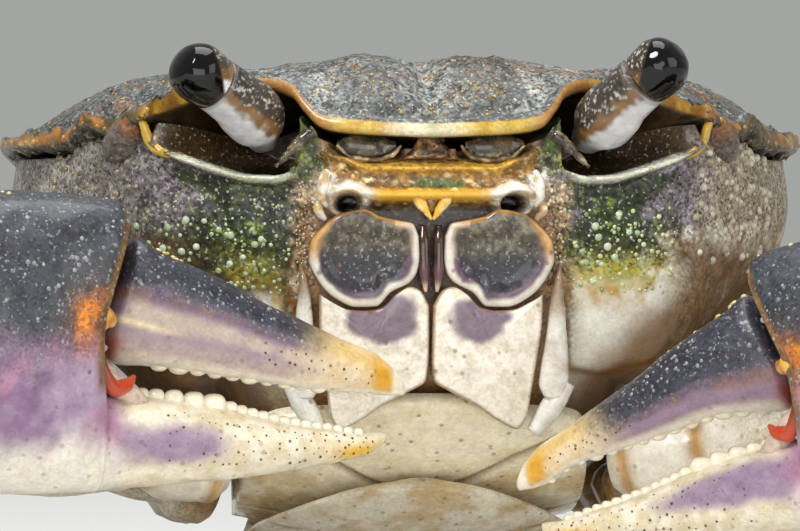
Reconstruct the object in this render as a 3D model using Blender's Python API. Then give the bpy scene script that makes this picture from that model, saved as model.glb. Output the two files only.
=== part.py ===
"""A freshwater crab, life size, standing with both claws held before its face.

The crab faces -Y, +Z is up, and its own right side is towards -X.
The shape functions work in millimetres in the body's axes, whose origin is the middle of the
front margin of the shell, level with the top of the shell. Meshes are written in metres.
"""

import math

import bmesh
import bpy
import numpy as np
from mathutils import Vector

MM = 0.001

# Driving sizes, in millimetres
GAP = 0.32
JOINT_GAP = 0.65
SHELL_GAP = 0.5
FLOOR = -31.0
RIM_RADIUS = 0.28
SHELL_CENTRE = (0.0, 15.0)
ORBIT_DEPTH = 4.6
PLATE_THICKNESS = 1.0
PLEON_THICKNESS = 0.9

# Numbers of sides and rings of the faceted solids
SHELL_SIDES = 92
BODY_SIDES = 92
PLATE_SIDES = 18
CLAW_SIDES = 16
LEG_SIDES = 10

SKIN_COLOURS = {
    "shell": (0.20, 0.22, 0.20, 1.0),
    "face": (0.55, 0.50, 0.40, 1.0),
    "pale": (0.80, 0.76, 0.68, 1.0),
    "claw": (0.45, 0.38, 0.42, 1.0),
    "leg": (0.62, 0.52, 0.34, 1.0),
    "eye": (0.01, 0.01, 0.01, 1.0),
    "dark": (0.10, 0.06, 0.04, 1.0),
}


def spline(points):
    """A smooth curve through rows of (place, value, ...), with no overshoot between rows."""
    rows = np.array(points, float)
    at, value = rows[:, 0], rows[:, 1:]
    gap = np.diff(at)[:, None]
    slope = np.diff(value, axis=0) / gap
    before, after = slope[:-1], slope[1:]
    same_way = before * after > 0
    inner = np.where(same_way, 2 * before * after / np.where(same_way, before + after, 1.0), 0.0)
    tangent = np.vstack([slope[:1], inner, slope[-1:]])

    def curve(place):
        place = np.clip(np.asarray(place, float), at[0], at[-1])
        i = np.clip(np.searchsorted(at, place, side="right") - 1, 0, len(at) - 2)
        h = (at[i + 1] - at[i])[..., None]
        u = (place - at[i])[..., None] / h
        found = (
            value[i] * (1 + 2 * u) * (1 - u) ** 2
            + value[i + 1] * u**2 * (3 - 2 * u)
            + tangent[i] * h * u * (1 - u) ** 2
            + tangent[i + 1] * h * u**2 * (u - 1)
        )
        return found[..., 0] if found.shape[-1] == 1 else found

    return curve


def smooth(low, high, x):
    """0 below low, 1 above high, and an even S between them."""
    t = np.clip((x - low) / (high - low), 0.0, 1.0)
    return t * t * (3 - 2 * t)


def lump(x, y, at, size):
    """A round bump of height 1 at a place, fading out over about its size."""
    return np.exp(-(((x - at[0]) / size[0]) ** 2) - ((y - at[1]) / size[1]) ** 2)


def by_length(points, power=0.8):
    """Rows of (share of the way, x, y, ...) for a run of points, close points getting more share."""
    rows = np.array(points, float)
    steps = np.linalg.norm(np.diff(rows, axis=0), axis=1) ** power
    share = np.concatenate([[0.0], np.cumsum(steps)]) / steps.sum()
    return np.column_stack([share, rows])


# The right half of the shell's rim, from the middle of the front to the middle of the back:
# the front lip, the notch over the eye, the two teeth, the side and the hind margin.
RIM_POINTS = (
    (0.0, 0.0, -3.65),
    (2.5, 0.0, -3.55),
    (4.6, 0.2, -3.42),
    (5.95, 0.65, -3.12),
    (6.75, 1.25, -2.3),
    (7.45, 2.0, -1.4),
    (8.8, 2.9, -0.95),
    (10.5, 3.5, -1.15),
    (12.5, 3.5, -1.6),
    (14.1, 2.9, -2.2),
    (15.1, 2.2, -2.55),
    (16.0, 3.2, -3.0),
    (16.9, 4.7, -3.55),
    (17.5, 5.3, -3.35),
    (18.2, 5.9, -3.1),
    (19.0, 7.4, -3.7),
    (19.8, 8.9, -4.05),
    (21.3, 11.5, -4.05),
    (22.3, 14.5, -4.0),
    (22.6, 17.5, -4.15),
    (22.0, 21.0, -4.7),
    (20.6, 24.8, -5.7),
    (18.0, 28.8, -7.2),
    (14.6, 32.2, -9.0),
    (11.2, 34.4, -10.3),
    (8.4, 35.4, -10.8),
    (4.2, 35.8, -11.0),
    (0.0, 35.9, -11.0),
)

# The wall under the rim, in plan, at the same places along the rim.
WALL_POINTS = (
    (0.0, 0.9),
    (2.5, 0.9),
    (4.6, 0.9),
    (6.0, 0.95),
    (6.9, 1.0),
    (7.6, 1.05),
    (8.9, 1.15),
    (10.5, 1.45),
    (12.4, 1.95),
    (13.9, 2.6),
    (14.9, 3.2),
    (15.8, 4.1),
    (16.7, 5.3),
    (17.3, 6.0),
    (17.9, 6.8),
    (18.7, 8.1),
    (19.4, 9.4),
    (20.8, 12.0),
    (21.7, 14.8),
    (22.0, 17.6),
    (21.4, 20.9),
    (20.0, 24.4),
    (17.4, 28.0),
    (13.9, 31.0),
    (10.6, 33.0),
    (8.0, 33.8),
    (4.1, 34.1),
    (0.0, 34.2),
)

# The lower edge of that wall, in plan, at the same places.
KEEL_POINTS = (
    (0.0, 2.8),
    (2.3, 2.8),
    (4.1, 3.0),
    (5.3, 3.5),
    (6.1, 4.1),
    (6.8, 4.7),
    (7.8, 5.3),
    (8.9, 5.9),
    (9.9, 6.6),
    (10.4, 7.3),
    (10.6, 8.0),
    (10.75, 8.8),
    (10.8, 9.6),
    (10.85, 10.3),
    (10.9, 11.0),
    (10.9, 12.0),
    (10.9, 13.0),
    (10.9, 14.5),
    (10.9, 16.2),
    (10.8, 18.0),
    (10.6, 20.0),
    (10.2, 22.0),
    (9.4, 24.2),
    (8.2, 26.0),
    (6.8, 27.2),
    (5.4, 27.8),
    (2.8, 28.2),
    (0.0, 28.3),
)

RIM_ROWS = by_length(RIM_POINTS)
RIM = spline(RIM_ROWS)
WALL = spline(np.column_stack([RIM_ROWS[:, 0], WALL_POINTS]))
KEEL = spline(np.column_stack([RIM_ROWS[:, 0], KEEL_POINTS]))

# The level of the body's underside, along Y
UNDER = spline(
    ((-2, -16.5), (3, -16.9), (6, -18.6), (9, -20.2), (14, -21.3), (22, -21.4), (28, -20.6), (36, -18.5))
)
# The lower face of the breast plate on the midline, along Y
BREAST = spline(
    (
        (2.0, -17.6),
        (4.0, -19.4),
        (6.0, -21.2),
        (8.0, -22.6),
        (10.0, -23.7),
        (12.0, -24.5),
        (16.0, -25.5),
        (20.0, -25.9),
        (26.0, -25.7),
        (30.0, -24.4),
        (33.0, -22.0),
    )
)
# How much of the way to its lower edge the wall has drawn in, at each share of its height
SIDE_INSET = spline(((0, 0.026), (0.15, 0), (0.33, 0.06), (0.5, 0.224), (0.7, 0.534), (0.87, 0.793), (1, 1)))
CHEEK_INSET = spline(((0, 0), (0.3, 0), (0.6, 0.1), (0.78, 0.25), (0.9, 0.46), (0.96, 0.667), (1, 1)))
MOUTH_INSET = spline(((0, 0), (0.35, 0), (0.6, 0.21), (0.85, 0.58), (1, 1)))
REAR_INSET = spline(((0, 0), (0.2, 0.03), (0.5, 0.21), (0.8, 0.57), (1, 1)))
# The lower edge of the eye socket, by distance from the midline
SOCKET_EDGE = spline(((7.0, -5.7), (8.3, -6.05), (9.6, -6.0), (11.0, -5.65), (12.4, -5.2), (13.6, -4.7), (14.8, -4.0)))


def both_sides(angle, curve):
    """The curve's points at angles round the crab: 0 is the front, pi the back, and + is its left."""
    found = curve(np.abs(angle) / math.pi)
    found[..., 0] *= np.where(angle < 0, -1.0, 1.0)
    return found


def shell_top(x, y):
    """The height of the back of the shell, without its rolled rim."""
    across = 5.4 * (np.abs(x) / 26.0) ** 2.6
    fore = 2.0 * (np.clip(10.0 - y, 0, None) / 10.0) ** 1.8
    aft = 10.5 * (np.clip(y - 11.0, 0, None) / 25.0) ** 1.9
    z = 0.75 - across - fore - aft
    for side in (-1, 1):
        z = z + 0.42 * lump(x, y, (3.1 * side, 5.6), (2.4, 2.3))
        z = z + 0.30 * lump(x, y, (14.5 * side, 12.0), (4.5, 4.5))
        z = z - 0.35 * lump(x, y, (8.6 * side, 10.5), (1.3, 4.5))
    return z - 0.5 * lump(x, y, (0.0, 4.5), (0.75, 4.2)) - 0.3 * lump(x, y, (0.0, 21.0), (7.0, 1.2))


def shell_under(x, y, share, rim_z):
    """The height of the shell's inner face: the rim's level at its edge, and flatter within."""
    return -4.6 + (rim_z - RIM_RADIUS + 4.6) * share**2.2


def roll(distance):
    """How far a rounded edge has risen at a distance in from its outermost line."""
    inward = np.clip(distance, 0, RIM_RADIUS)
    return np.sqrt(RIM_RADIUS**2 - (RIM_RADIUS - inward) ** 2)


def shell_point(share, angle, upper):
    """A point of the shell: share 0 is its middle and 1 its rim."""
    rim = both_sides(angle, RIM)
    middle = np.array([*SHELL_CENTRE, 0.0])
    x, y = (middle[:2] + (rim[..., :2] - middle[:2]) * share[..., None]).T
    reach = np.hypot(rim[..., 0], rim[..., 1] - SHELL_CENTRE[1])
    rise = roll((1 - share) * reach)
    start = 0.58 + 0.2 * smooth(0.3, 1.2, np.abs(angle))
    edge = np.clip((share - start) / (1 - start), 0, 1) ** 2.2
    dome = shell_top(x, y) * (1 - edge) + (rim[..., 2] + rise) * edge
    under = shell_under(x, y, share, rim[..., 2]) - (rise - RIM_RADIUS) * (share > 0.97)
    return np.column_stack([x, y, np.where(upper, dome, np.where(share >= 1.0, rim[..., 2], under))])


def carve_face(x, z, along):
    """How far the face is sunk at (x, z): the eye sockets, the feeler pits and the mouth."""
    far = np.abs(x)
    socket = smooth(6.9, 8.0, far) * (1 - smooth(14.0, 15.2, far))
    sunk = ORBIT_DEPTH * socket * smooth(0.0, 0.9, z - SOCKET_EDGE(far))
    pit = smooth(1.1, 1.9, far) * (1 - smooth(5.0, 5.9, far)) * smooth(-5.3, -4.7, z)
    sunk = np.maximum(sunk, 1.7 * pit)
    under_front = 0.5 * (1 - smooth(5.6, 7.0, far)) * smooth(-6.0, -5.4, z)
    sunk = np.maximum(sunk, under_front)
    half = 7.1 + 0.95 * smooth(10.8, 12.0, -z)
    mouth = (1 - smooth(half - 0.25, half + 0.25, far)) * (1 - smooth(-7.75, -7.4, z))
    wanted = plate_front(z) + PLATE_THICKNESS + GAP + 0.15
    sunk = np.maximum(sunk, mouth * np.clip(wanted - along, 0, None))
    ridge = -0.45 * (1 - smooth(0.0, 0.5, np.abs(z - SOCKET_EDGE(far)))) * socket
    return np.where(sunk > 0.05, sunk, ridge)


def sink(x, y, depth):
    """Points moved back by a depth along Y, each straight towards the middle of the shell."""
    share = depth / (SHELL_CENTRE[1] - np.minimum(y, 8.0))
    return x - x * share, y + (SHELL_CENTRE[1] - y) * share


def plate_front(z):
    """The front face of the mouth's plates, as Y, at a height."""
    return 0.1 + 0.3 * smooth(8.0, 12.5, -z) + 1.7 * np.clip((-12.0 - z) / 8.0, 0, None) ** 1.3


def wall_point(share, angle):
    """A point of the body's wall: share 0 is under the rim and 1 the lower edge."""
    rim = both_sides(angle, RIM)
    wall = both_sides(angle, WALL)
    x, y = wall[..., 0], wall[..., 1]
    in_front = y < 7.0
    top_x, top_y = sink(x, y, np.where(in_front, carve_face(x, rim[..., 2] - 1.0, y), 0.0))
    reach = np.hypot(top_x, top_y - SHELL_CENTRE[1]) / np.hypot(rim[..., 0], rim[..., 1] - SHELL_CENTRE[1])
    top = shell_under(top_x, top_y, np.clip(reach, 0, 1), rim[..., 2]) - SHELL_GAP
    z = top + (UNDER(y) - top) * share
    turn = np.abs(angle)
    q = turn / math.pi
    to_cheek = smooth(RIM_ROWS[4, 0], RIM_ROWS[7, 0], q)
    to_side = smooth(RIM_ROWS[9, 0], RIM_ROWS[17, 0], q)
    to_rear = smooth(RIM_ROWS[20, 0], RIM_ROWS[24, 0], q)
    inset = MOUTH_INSET(share) * (1 - to_cheek) + CHEEK_INSET(share) * to_cheek
    inset = inset * (1 - to_side) + SIDE_INSET(share) * to_side
    inset = inset * (1 - to_rear) + REAR_INSET(share) * to_rear
    keel = both_sides(angle, KEEL)
    x, y = (wall + (keel - wall) * inset[:, None]).T
    return np.column_stack([*sink(x, y, np.where(in_front, carve_face(x, z, y), 0.0)), z])


def under_point(share, angle, edge):
    """A point of the body's hidden underside: share 0 is its middle and 1 the wall's lower edge."""
    middle = np.array([0.0, 17.0])
    plan = middle + (edge[:, :2] - middle) * share[:, None]
    return np.column_stack([plan, UNDER(plan[:, 1])])


def body_point(share, angle, part):
    """A point of the body, by part: 0 its hidden top, 1 its wall, 2 its hidden underside."""
    wall = wall_point(np.where(part == 1, share, np.where(part == 0, 0.0, 1.0)), angle)
    rim_z = both_sides(angle, RIM)[..., 2]
    middle = np.array([*SHELL_CENTRE])
    reach = np.hypot(wall[:, 0], wall[:, 1] - middle[1])
    plan = middle + (wall[:, :2] - middle) * share[:, None]
    full = np.maximum(np.hypot(*(both_sides(angle, RIM)[:, :2] - middle).T), reach)
    covered = np.clip(share * reach / full, 0, 1)
    top_z = shell_under(plan[:, 0], plan[:, 1], covered, rim_z) - SHELL_GAP
    top = np.column_stack([plan, np.minimum(top_z, -0.6)])
    under = under_point(share, angle, wall)
    return np.where((part == 0)[:, None], top, np.where((part == 1)[:, None], wall, under))


def material(name):
    """The plain finish with that name."""
    found = bpy.data.materials.get(name)
    if found is None:
        found = bpy.data.materials.new(name)
        found.use_nodes = True
        shader = found.node_tree.nodes["Principled BSDF"]
        shader.inputs["Base Color"].default_value = SKIN_COLOURS[name]
        shader.inputs["Roughness"].default_value = 0.15 if name == "eye" else 0.45
    return found


def solid(name, finish, shape):
    """An object from a bmesh in millimetres, written in metres with its faces pointing out."""
    bmesh.ops.recalc_face_normals(shape, faces=shape.faces)
    if shape.calc_volume(signed=True) < 0:
        bmesh.ops.reverse_faces(shape, faces=shape.faces)
    bmesh.ops.scale(shape, vec=(MM, MM, MM), verts=shape.verts)
    mesh = bpy.data.meshes.new(name)
    shape.to_mesh(mesh)
    shape.free()
    mesh.materials.append(material(finish))
    mesh.shade_smooth()
    obj = bpy.data.objects.new(name, mesh)
    bpy.context.scene.collection.objects.link(obj)
    return obj


def ball(sides, rings, place):
    """A closed ball of rings whose vertices a function puts in place, from ring number and angle."""
    shape = bmesh.new()
    bmesh.ops.create_uvsphere(shape, u_segments=sides, v_segments=rings, radius=1.0)
    co = np.array([v.co for v in shape.verts])
    ring = np.rint(np.arccos(np.clip(co[:, 2], -1, 1)) / math.pi * rings).astype(int)
    angle = np.arctan2(co[:, 1], co[:, 0])
    for vert, spot in zip(shape.verts, place(ring, angle)):
        vert.co = spot
    return shape


def fuse(obj, extras):
    """Joins closed pieces to an object by one Boolean union, keeping its largest closed surface."""
    group = bpy.data.collections.new(obj.name + "_pieces")
    bpy.context.scene.collection.children.link(group)
    for extra in extras:
        bpy.context.scene.collection.objects.unlink(extra)
        group.objects.link(extra)
    union = obj.modifiers.new("union", "BOOLEAN")
    union.operation = "UNION"
    union.operand_type = "COLLECTION"
    union.solver = "EXACT"
    union.collection = group
    bpy.context.view_layer.update()
    graph = bpy.context.evaluated_depsgraph_get()
    joined = bpy.data.meshes.new_from_object(obj.evaluated_get(graph))
    obj.modifiers.clear()
    obj.data = joined
    for extra in list(group.objects):
        bpy.data.objects.remove(extra)
    bpy.data.collections.remove(group)
    keep_largest(obj)
    return obj


def keep_largest(obj):
    """Drops every closed surface of a mesh but its largest, and joins vertices that all but touch."""
    shape = bmesh.new()
    shape.from_mesh(obj.data)
    unseen = set(shape.verts)
    groups = []
    while unseen:
        todo = [unseen.pop()]
        found = []
        while todo:
            vert = todo.pop()
            found.append(vert)
            for edge in vert.link_edges:
                other = edge.other_vert(vert)
                if other in unseen:
                    unseen.remove(other)
                    todo.append(other)
        groups.append(found)
    groups.sort(key=len)
    loose = [vert for group in groups[:-1] for vert in group]
    bmesh.ops.delete(shape, geom=loose, context="VERTS")
    bmesh.ops.remove_doubles(shape, verts=shape.verts, dist=0.004 * MM)
    bmesh.ops.dissolve_degenerate(shape, edges=shape.edges, dist=0.002 * MM)
    shape.to_mesh(obj.data)
    shape.free()


def make_shell():
    """The broad shield over the back, with its rolled rim."""
    top = (0.0, 0.2, 0.38, 0.53, 0.66, 0.77, 0.86, 0.93, 0.975, 0.995)
    under = (1.0, 0.988, 0.94, 0.78, 0.45, 0.0)
    share = np.array([*top, *under])
    upper = np.array([True] * len(top) + [False] * len(under))

    def place(ring, angle):
        return shell_point(share[ring], angle, upper[ring])

    return solid("carapace", "shell", ball(SHELL_SIDES, len(share) - 1, place))


def bar(name, finish, points, radii, sides=8, up=(0, 0, 1)):
    """A tapered round bar along a few points."""
    return solid(name, finish, tube_shape(points, [(r, r) for r in radii], sides, up=up))


def make_body():
    """The body under the shell, with the face, sockets and cheeks in its wall."""
    rows = [(0.0, 0), (0.5, 0), (0.9, 0)]
    rows += [(s, 1) for s in (0.0, 0.06, 0.12, 0.18, 0.25, 0.32, 0.42, 0.53, 0.64, 0.75, 0.85, 0.93, 1.0)]
    rows += [(0.7, 2), (0.35, 2), (0.0, 2)]
    share = np.array([row[0] for row in rows])
    part = np.array([row[1] for row in rows])

    def place(ring, angle):
        return body_point(share[ring], angle, part[ring])

    body = solid("body", "face", ball(BODY_SIDES, len(rows) - 1, place))
    brow = bar(
        "brow", "face",
        ((-5.0, 1.1, -5.05), (-4.2, 0.8, -5.42), (-3.0, 0.7, -5.5), (0, 0.6, -5.55), (3.0, 0.7, -5.5),
         (4.2, 0.8, -5.42), (5.0, 1.1, -5.05)),
        (0.22, 0.3, 0.36, 0.4, 0.36, 0.3, 0.22),
    )
    lip = bar(
        "lip", "face",
        ((-5.7, 0.95, -6.8), (-4.4, 0.7, -6.6), (-3.0, 0.6, -6.85), (0, 0.5, -7.0), (3.0, 0.6, -6.85),
         (4.4, 0.7, -6.6), (5.7, 0.95, -6.8)),
        (0.3, 0.3, 0.34, 0.38, 0.34, 0.3, 0.3),
    )
    tooth = bar(
        "tooth", "face", ((0, 0.62, -7.0), (0, 0.45, -7.6), (0, 0.4, -8.25)), (0.75, 0.5, 0.14), up=(0, 1, 0)
    )
    return fuse(body, [brow, lip, tooth])


def tube_shape(points, radii, sides, roundness=1.0, up=(0, 0, 1), flat_end=False):
    """A closed tube through points, each with (across, upright) half sizes, and blunt round ends."""
    spots = [Vector(p) for p in points]
    count = len(spots)
    ways = []
    for i in range(count):
        before = spots[max(i - 1, 0)]
        after = spots[min(i + 1, count - 1)]
        ways.append((after - before).normalized())
    stations = [(spots[0], ways[0], radii[0], 0.0)]
    for i in range(count):
        stations.append((spots[i], ways[i], radii[i], 1.0))
    stations.append((spots[-1], ways[-1], radii[-1], 0.0))

    def place(ring, angle):
        found = []
        for i, turn in zip(ring, angle):
            spot, way, (across, upright), grow = stations[i]
            side = way.cross(Vector(up)).normalized()
            rise = side.cross(way)
            if flat_end and i >= count:
                side, rise = Vector((side.x, side.y, 0)).normalized(), Vector((way.x, way.y, 0)).normalized()
            c, s = math.cos(turn), math.sin(turn)
            c = math.copysign(abs(c) ** roundness, c) * across * grow
            s = math.copysign(abs(s) ** roundness, s) * upright * grow
            found.append(spot + side * c + rise * s)
        return found

    return ball(sides, count + 1, place)


def plate(name, finish, outline, front, thickness, side, dish=0.0, sides=PLATE_SIDES):
    """A plate seen from the front: an outline of (x, z) points, a front face and a thickness."""
    rows = np.array([*outline, outline[0]], float)
    loop = spline(by_length(rows, 1.0))
    centre = rows[:-1].mean(axis=0)
    share = np.array([0.0, 0.55, 0.86, 1.0, 1.0, 0.5, 0.0])
    back = np.array([0, 0, 0, 0, 1, 1, 1])
    inset = np.array([0, 0, 0, 0.12, 0.0, 0, 0])

    def place(ring, angle):
        edge = loop((angle / (2 * math.pi)) % 1.0)
        out = edge - centre
        out *= (1 - inset[ring] / np.maximum(np.linalg.norm(out, axis=1), 0.2))[:, None]
        spot = centre + out * share[ring][:, None]
        y = front(spot[:, 1]) + dish * (1 - share[ring] ** 3) * (back[ring] == 0)
        y = np.where(back[ring] == 1, front(spot[:, 1]) + thickness, y)
        return np.column_stack([spot[:, 0] * side, y, spot[:, 1]])

    return solid(name, finish, ball(sides, len(share) - 1, place))


# The mouth's plates on the crab's left, as (distance from the midline, height)
UPPER_PLATE = (
    (0.82, -9.2), (1.13, -8.55), (1.81, -8.42), (2.79, -8.22), (3.57, -7.85), (4.75, -8.06), (5.7, -8.75),
    (6.3, -9.5), (6.4, -10.3), (5.95, -11.4), (5.1, -12.3), (3.96, -12.78), (2.98, -12.75), (2.2, -12.0),
    (1.3, -11.55), (0.9, -11.0), (0.78, -10.3),
)
LOWER_PLATE = (
    (0.22, -12.9), (0.7, -12.1), (1.2, -11.92), (1.9, -12.3), (2.7, -13.05), (3.4, -13.2), (4.2, -13.15),
    (5.2, -12.7), (5.85, -12.3), (5.8, -13.85), (5.6, -15.4), (5.4, -17.0), (5.2, -18.5), (4.7, -19.3),
    (3.8, -18.9), (2.5, -18.0), (1.2, -17.3), (0.3, -16.7), (0.2, -15.2),
)
# The strip outside them, as (height, inner edge, outer edge)
OUTER_PLATE = (
    (-11.0, 6.75, 6.95), (-11.6, 6.55, 7.0), (-12.7, 6.35, 7.1), (-14.2, 6.2, 7.25), (-15.7, 5.98, 7.4),
    (-17.0, 5.85, 7.45), (-17.6, 6.1, 7.2),
)


def make_mouth(side, word):
    """One side's jaw plates: upper, lower, outer strip with its knob, and the dark inner palp."""
    plate("jaw_upper_" + word, "face", UPPER_PLATE, plate_front, PLATE_THICKNESS, side, dish=0.22)
    plate("jaw_lower_" + word, "pale", LOWER_PLATE, plate_front, PLATE_THICKNESS, side)
    points = [((low + high) / 2 * side, plate_front(z) + 0.5, z) for z, low, high in OUTER_PLATE]
    sizes = [((high - low) / 2, 0.5) for z, low, high in OUTER_PLATE]
    outer = solid("jaw_outer_" + word, "pale", tube_shape(points, sizes, 8, 0.7, up=(0, 1, 0)))
    knob = bar(
        "knob", "pale",
        ((7.4 * side, 1.9, -16.9), (6.6 * side, 2.2, -18.2), (5.65 * side, 2.5, -19.6)),
        (0.45, 0.62, 0.4), sides=8,
    )
    fuse(outer, [knob])
    bar(
        "palp_" + word, "dark",
        ((0.32 * side, 0.95, -8.7), (0.32 * side, 0.75, -9.6), (0.32 * side, 0.7, -10.8), (0.3 * side, 0.85, -11.8)),
        (0.13, 0.16, 0.16, 0.1), sides=8, up=(0, 1, 0),
    )


def make_feelers(side, word):
    """One side's short folded antennule, in its pit, and its small antenna."""
    bar(
        "antennule_" + word, "dark",
        ((4.45 * side, 1.5, -4.35), (4.0 * side, 1.35, -4.45), (3.1 * side, 1.32, -4.55), (2.4 * side, 1.4, -4.5)),
        (0.22, 0.36, 0.36, 0.22), sides=8,
    )
    bar(
        "antenna_" + word, "dark",
        ((6.25 * side, 0.3, -3.65), (6.9 * side, 0.2, -4.1), (7.7 * side, 0.1, -4.9), (8.3 * side, -0.05, -5.5)),
        (0.42, 0.38, 0.28, 0.16), sides=8,
    )


# Each eye stalk's middle line on its own side, with its half thickness, and the same for its eye
STALKS = {
    "right": (
        (8.7, 4.0, -3.9, 0.85), (8.95, 2.9, -3.45, 1.15), (9.3, 1.7, -2.85, 1.65), (9.75, 1.0, -2.45, 1.68),
        (10.4, 0.35, -1.95, 1.5), (11.05, -0.15, -1.5, 1.3), (11.45, -0.45, -1.25, 1.24),
    ),
    "left": (
        (8.7, 4.0, -3.9, 0.85), (8.95, 2.9, -3.5, 1.15), (9.35, 1.7, -2.95, 1.65), (9.7, 1.1, -2.5, 1.68),
        (10.25, 0.5, -1.85, 1.48), (10.8, 0.05, -1.3, 1.27), (11.02, -0.17, -1.06, 1.2),
    ),
}
EYES = {
    "right": (
        (11.7, -0.64, -1.1, 1.3), (12.0, -0.85, -0.92, 1.5), (12.45, -1.2, -0.62, 1.6), (12.9, -1.5, -0.35, 1.4),
        (13.25, -1.75, -0.12, 1.0), (13.4, -1.85, -0.02, 0.5),
    ),
    "left": (
        (11.35, -0.4, -0.73, 1.25), (11.65, -0.6, -0.5, 1.45), (12.05, -0.9, -0.12, 1.55), (12.4, -1.15, 0.22, 1.38),
        (12.7, -1.35, 0.5, 1.0), (12.85, -1.45, 0.65, 0.5),
    ),
}


def make_eye(side, word):
    """One eye stalk, which leans out of its socket, and the dark eye at its end."""
    for name, finish, rows in (("eyestalk_", "pale", STALKS[word]), ("eye_", "eye", EYES[word])):
        points = [(x * side, y, z) for x, y, z, _ in rows]
        solid(name + word, finish, tube_shape(points, [(r, r) for *_, r in rows], 14))


def ventral_plate(name, outline, top, bottom, sides, finish="pale"):
    """A plate under the body: an outline of (x, y) points, with its upper and lower faces."""
    half = np.array(outline, float)
    loop = spline(by_length(half, 1.0))
    centre = np.array([0.0, 0.5 * (half[0, 1] + half[-1, 1])])
    share = np.array([0.0, 0.5, 0.85, 1.0, 0.985, 0.9, 0.7, 0.4, 0.0])
    upper = np.array([1, 1, 1, 1, 0, 0, 0, 0, 0])

    def place(ring, angle):
        edge = both_sides(angle, loop)
        spot = centre + (edge - centre) * share[ring][:, None]
        x, y = spot.T
        return np.column_stack([x, y, np.where(upper[ring] == 1, top(x, y), bottom(x, y))])

    return solid(name, finish, ball(sides, len(share) - 1, place))


def breast_face(x, y):
    """The height of the breast plate's lower face."""
    return BREAST(y) + 1.1 * (np.abs(x) / 10.0) ** 2


def make_underside():
    """The breast plate between the legs, and the broad tail flap folded beneath it."""
    ventral_plate(
        "sternum",
        (
            (0, 2.75), (2.4, 3.0), (3.8, 3.7), (5.2, 4.4), (7.0, 4.5), (8.4, 5.0), (9.2, 7.0), (9.5, 11.0),
            (9.6, 16.0), (9.5, 20.0), (9.0, 24.5), (7.6, 28.2), (4.7, 30.5), (0, 31.2),
        ),
        lambda x, y: UNDER(y) - 2 * GAP,
        breast_face,
        44,
    )
    rows = spline(
        (
            (0.0, 6.3, -22.5, 1.2),
            (0.03, 6.6, -22.8, 3.0),
            (0.1, 8.6, -24.2, 6.4),
            (0.2, 11.8, -25.65, 8.6),
            (0.32, 16.0, -26.75, 9.3),
            (0.45, 20.5, -27.15, 9.1),
            (0.6, 26.0, -26.95, 8.4),
            (0.7, 30.0, -25.7, 7.6),
            (0.8, 33.4, -22.7, 6.8),
            (0.9, 35.2, -17.6, 6.1),
            (1.0, 35.35, -12.3, 5.4),
        )
    )
    places = np.linspace(0, 1, 15)

    def flap(ring, angle):
        found = []
        for i, turn in zip(ring, angle):
            t = places[np.clip(i - 1, 0, len(places) - 1)]
            y, z, half = rows(np.array([t]))[0]
            ahead = rows(np.array([min(t + 0.02, 1.0)]))[0] - rows(np.array([max(t - 0.02, 0.0)]))[0]
            way = Vector((0, ahead[0], ahead[1])).normalized()
            out = Vector((0, way.z, -way.y))
            grow = 0.0 if i in (0, len(places) + 1) else 1.0
            c, s = math.cos(turn), math.sin(turn)
            c = math.copysign(abs(c) ** 0.6, c)
            s = math.copysign(abs(s) ** 0.6, s)
            bend = 0.9 * (c * half / 10.0) ** 2
            thick = PLEON_THICKNESS / 2 * (1 - 0.3 * c * c)
            found.append(Vector((c * half * grow, y, z)) + out * ((s * thick - bend) * grow))
        return found

    solid("tail_flap", "pale", ball(20, len(places) + 1, flap))


# The hand and its two fingers, seen on the outer face with the fingers towards +U:
# rows of (U, upper edge, lower edge, half thickness).
HAND = (
    (-15.4, 1.2, -3.9, 1.3),
    (-14.7, 2.5, -5.3, 2.1),
    (-12.6, 4.3, -7.6, 3.4),
    (-9.0, 5.2, -9.1, 4.5),
    (-4.8, 5.45, -9.65, 4.7),
    (-1.0, 5.0, -9.6, 4.1),
    (-0.3, 4.3, -9.6, 3.75),
    (-0.22, 1.6, -9.6, 3.65),
    (-0.13, -1.2, -9.58, 3.55),
    (-0.03, -2.9, -9.56, 3.45),
    (0.08, -4.25, -9.55, 3.3),
    (4.0, -5.1, -9.3, 2.5),
    (6.6, -5.6, -9.08, 2.25),
    (9.4, -6.25, -8.78, 1.95),
    (12.0, -6.65, -8.4, 1.5),
    (13.9, -6.9, -8.0, 1.0),
    (15.0, -6.85, -7.4, 0.45),
)
FINGER = (
    (0.32, 2.5, -2.6, 1.6),
    (0.8, 3.1, -3.15, 2.3),
    (2.4, 2.5, -3.35, 2.5),
    (4.2, 1.8, -3.6, 2.35),
    (6.15, 1.0, -3.9, 2.1),
    (8.1, -0.05, -4.2, 1.85),
    (10.4, -1.05, -4.55, 1.5),
    (12.6, -2.05, -4.77, 1.15),
    (14.4, -2.8, -4.92, 0.85),
    (15.5, -3.6, -5.0, 0.55),
    (16.1, -4.4, -5.0, 0.3),
)
# Where the biting teeth stand and how big they are: (U, radius)
HAND_TEETH = ((2.4, 0.43), (3.5, 0.5), (4.75, 0.55), (6.1, 0.6), (7.45, 0.42), (8.9, 0.36), (10.4, 0.32), (12.0, 0.28))
FINGER_TEETH = ((3.6, 0.28), (5.2, 0.3), (6.6, 0.34), (8.2, 0.36), (9.8, 0.32), (11.3, 0.3), (12.8, 0.28))


def hinge_lean(u, v):
    """How far along U the claw's material shifts, so that the palm's end slants out above the hinge."""
    near_hinge = 1 - smooth(0.0, 5.0, np.abs(u))
    return near_hinge * (0.17 * (v + 1.2 + np.sqrt((v + 1.2) ** 2 + 0.2)) - 0.6)


def claw_roundness(u):
    """The power that shapes the hand's section: boxy where the palm ends, so that the finger runs on."""
    return 0.85 - 0.25 * smooth(-6.0, -1.0, u) * (1 - smooth(-0.2, 0.05, u))


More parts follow.
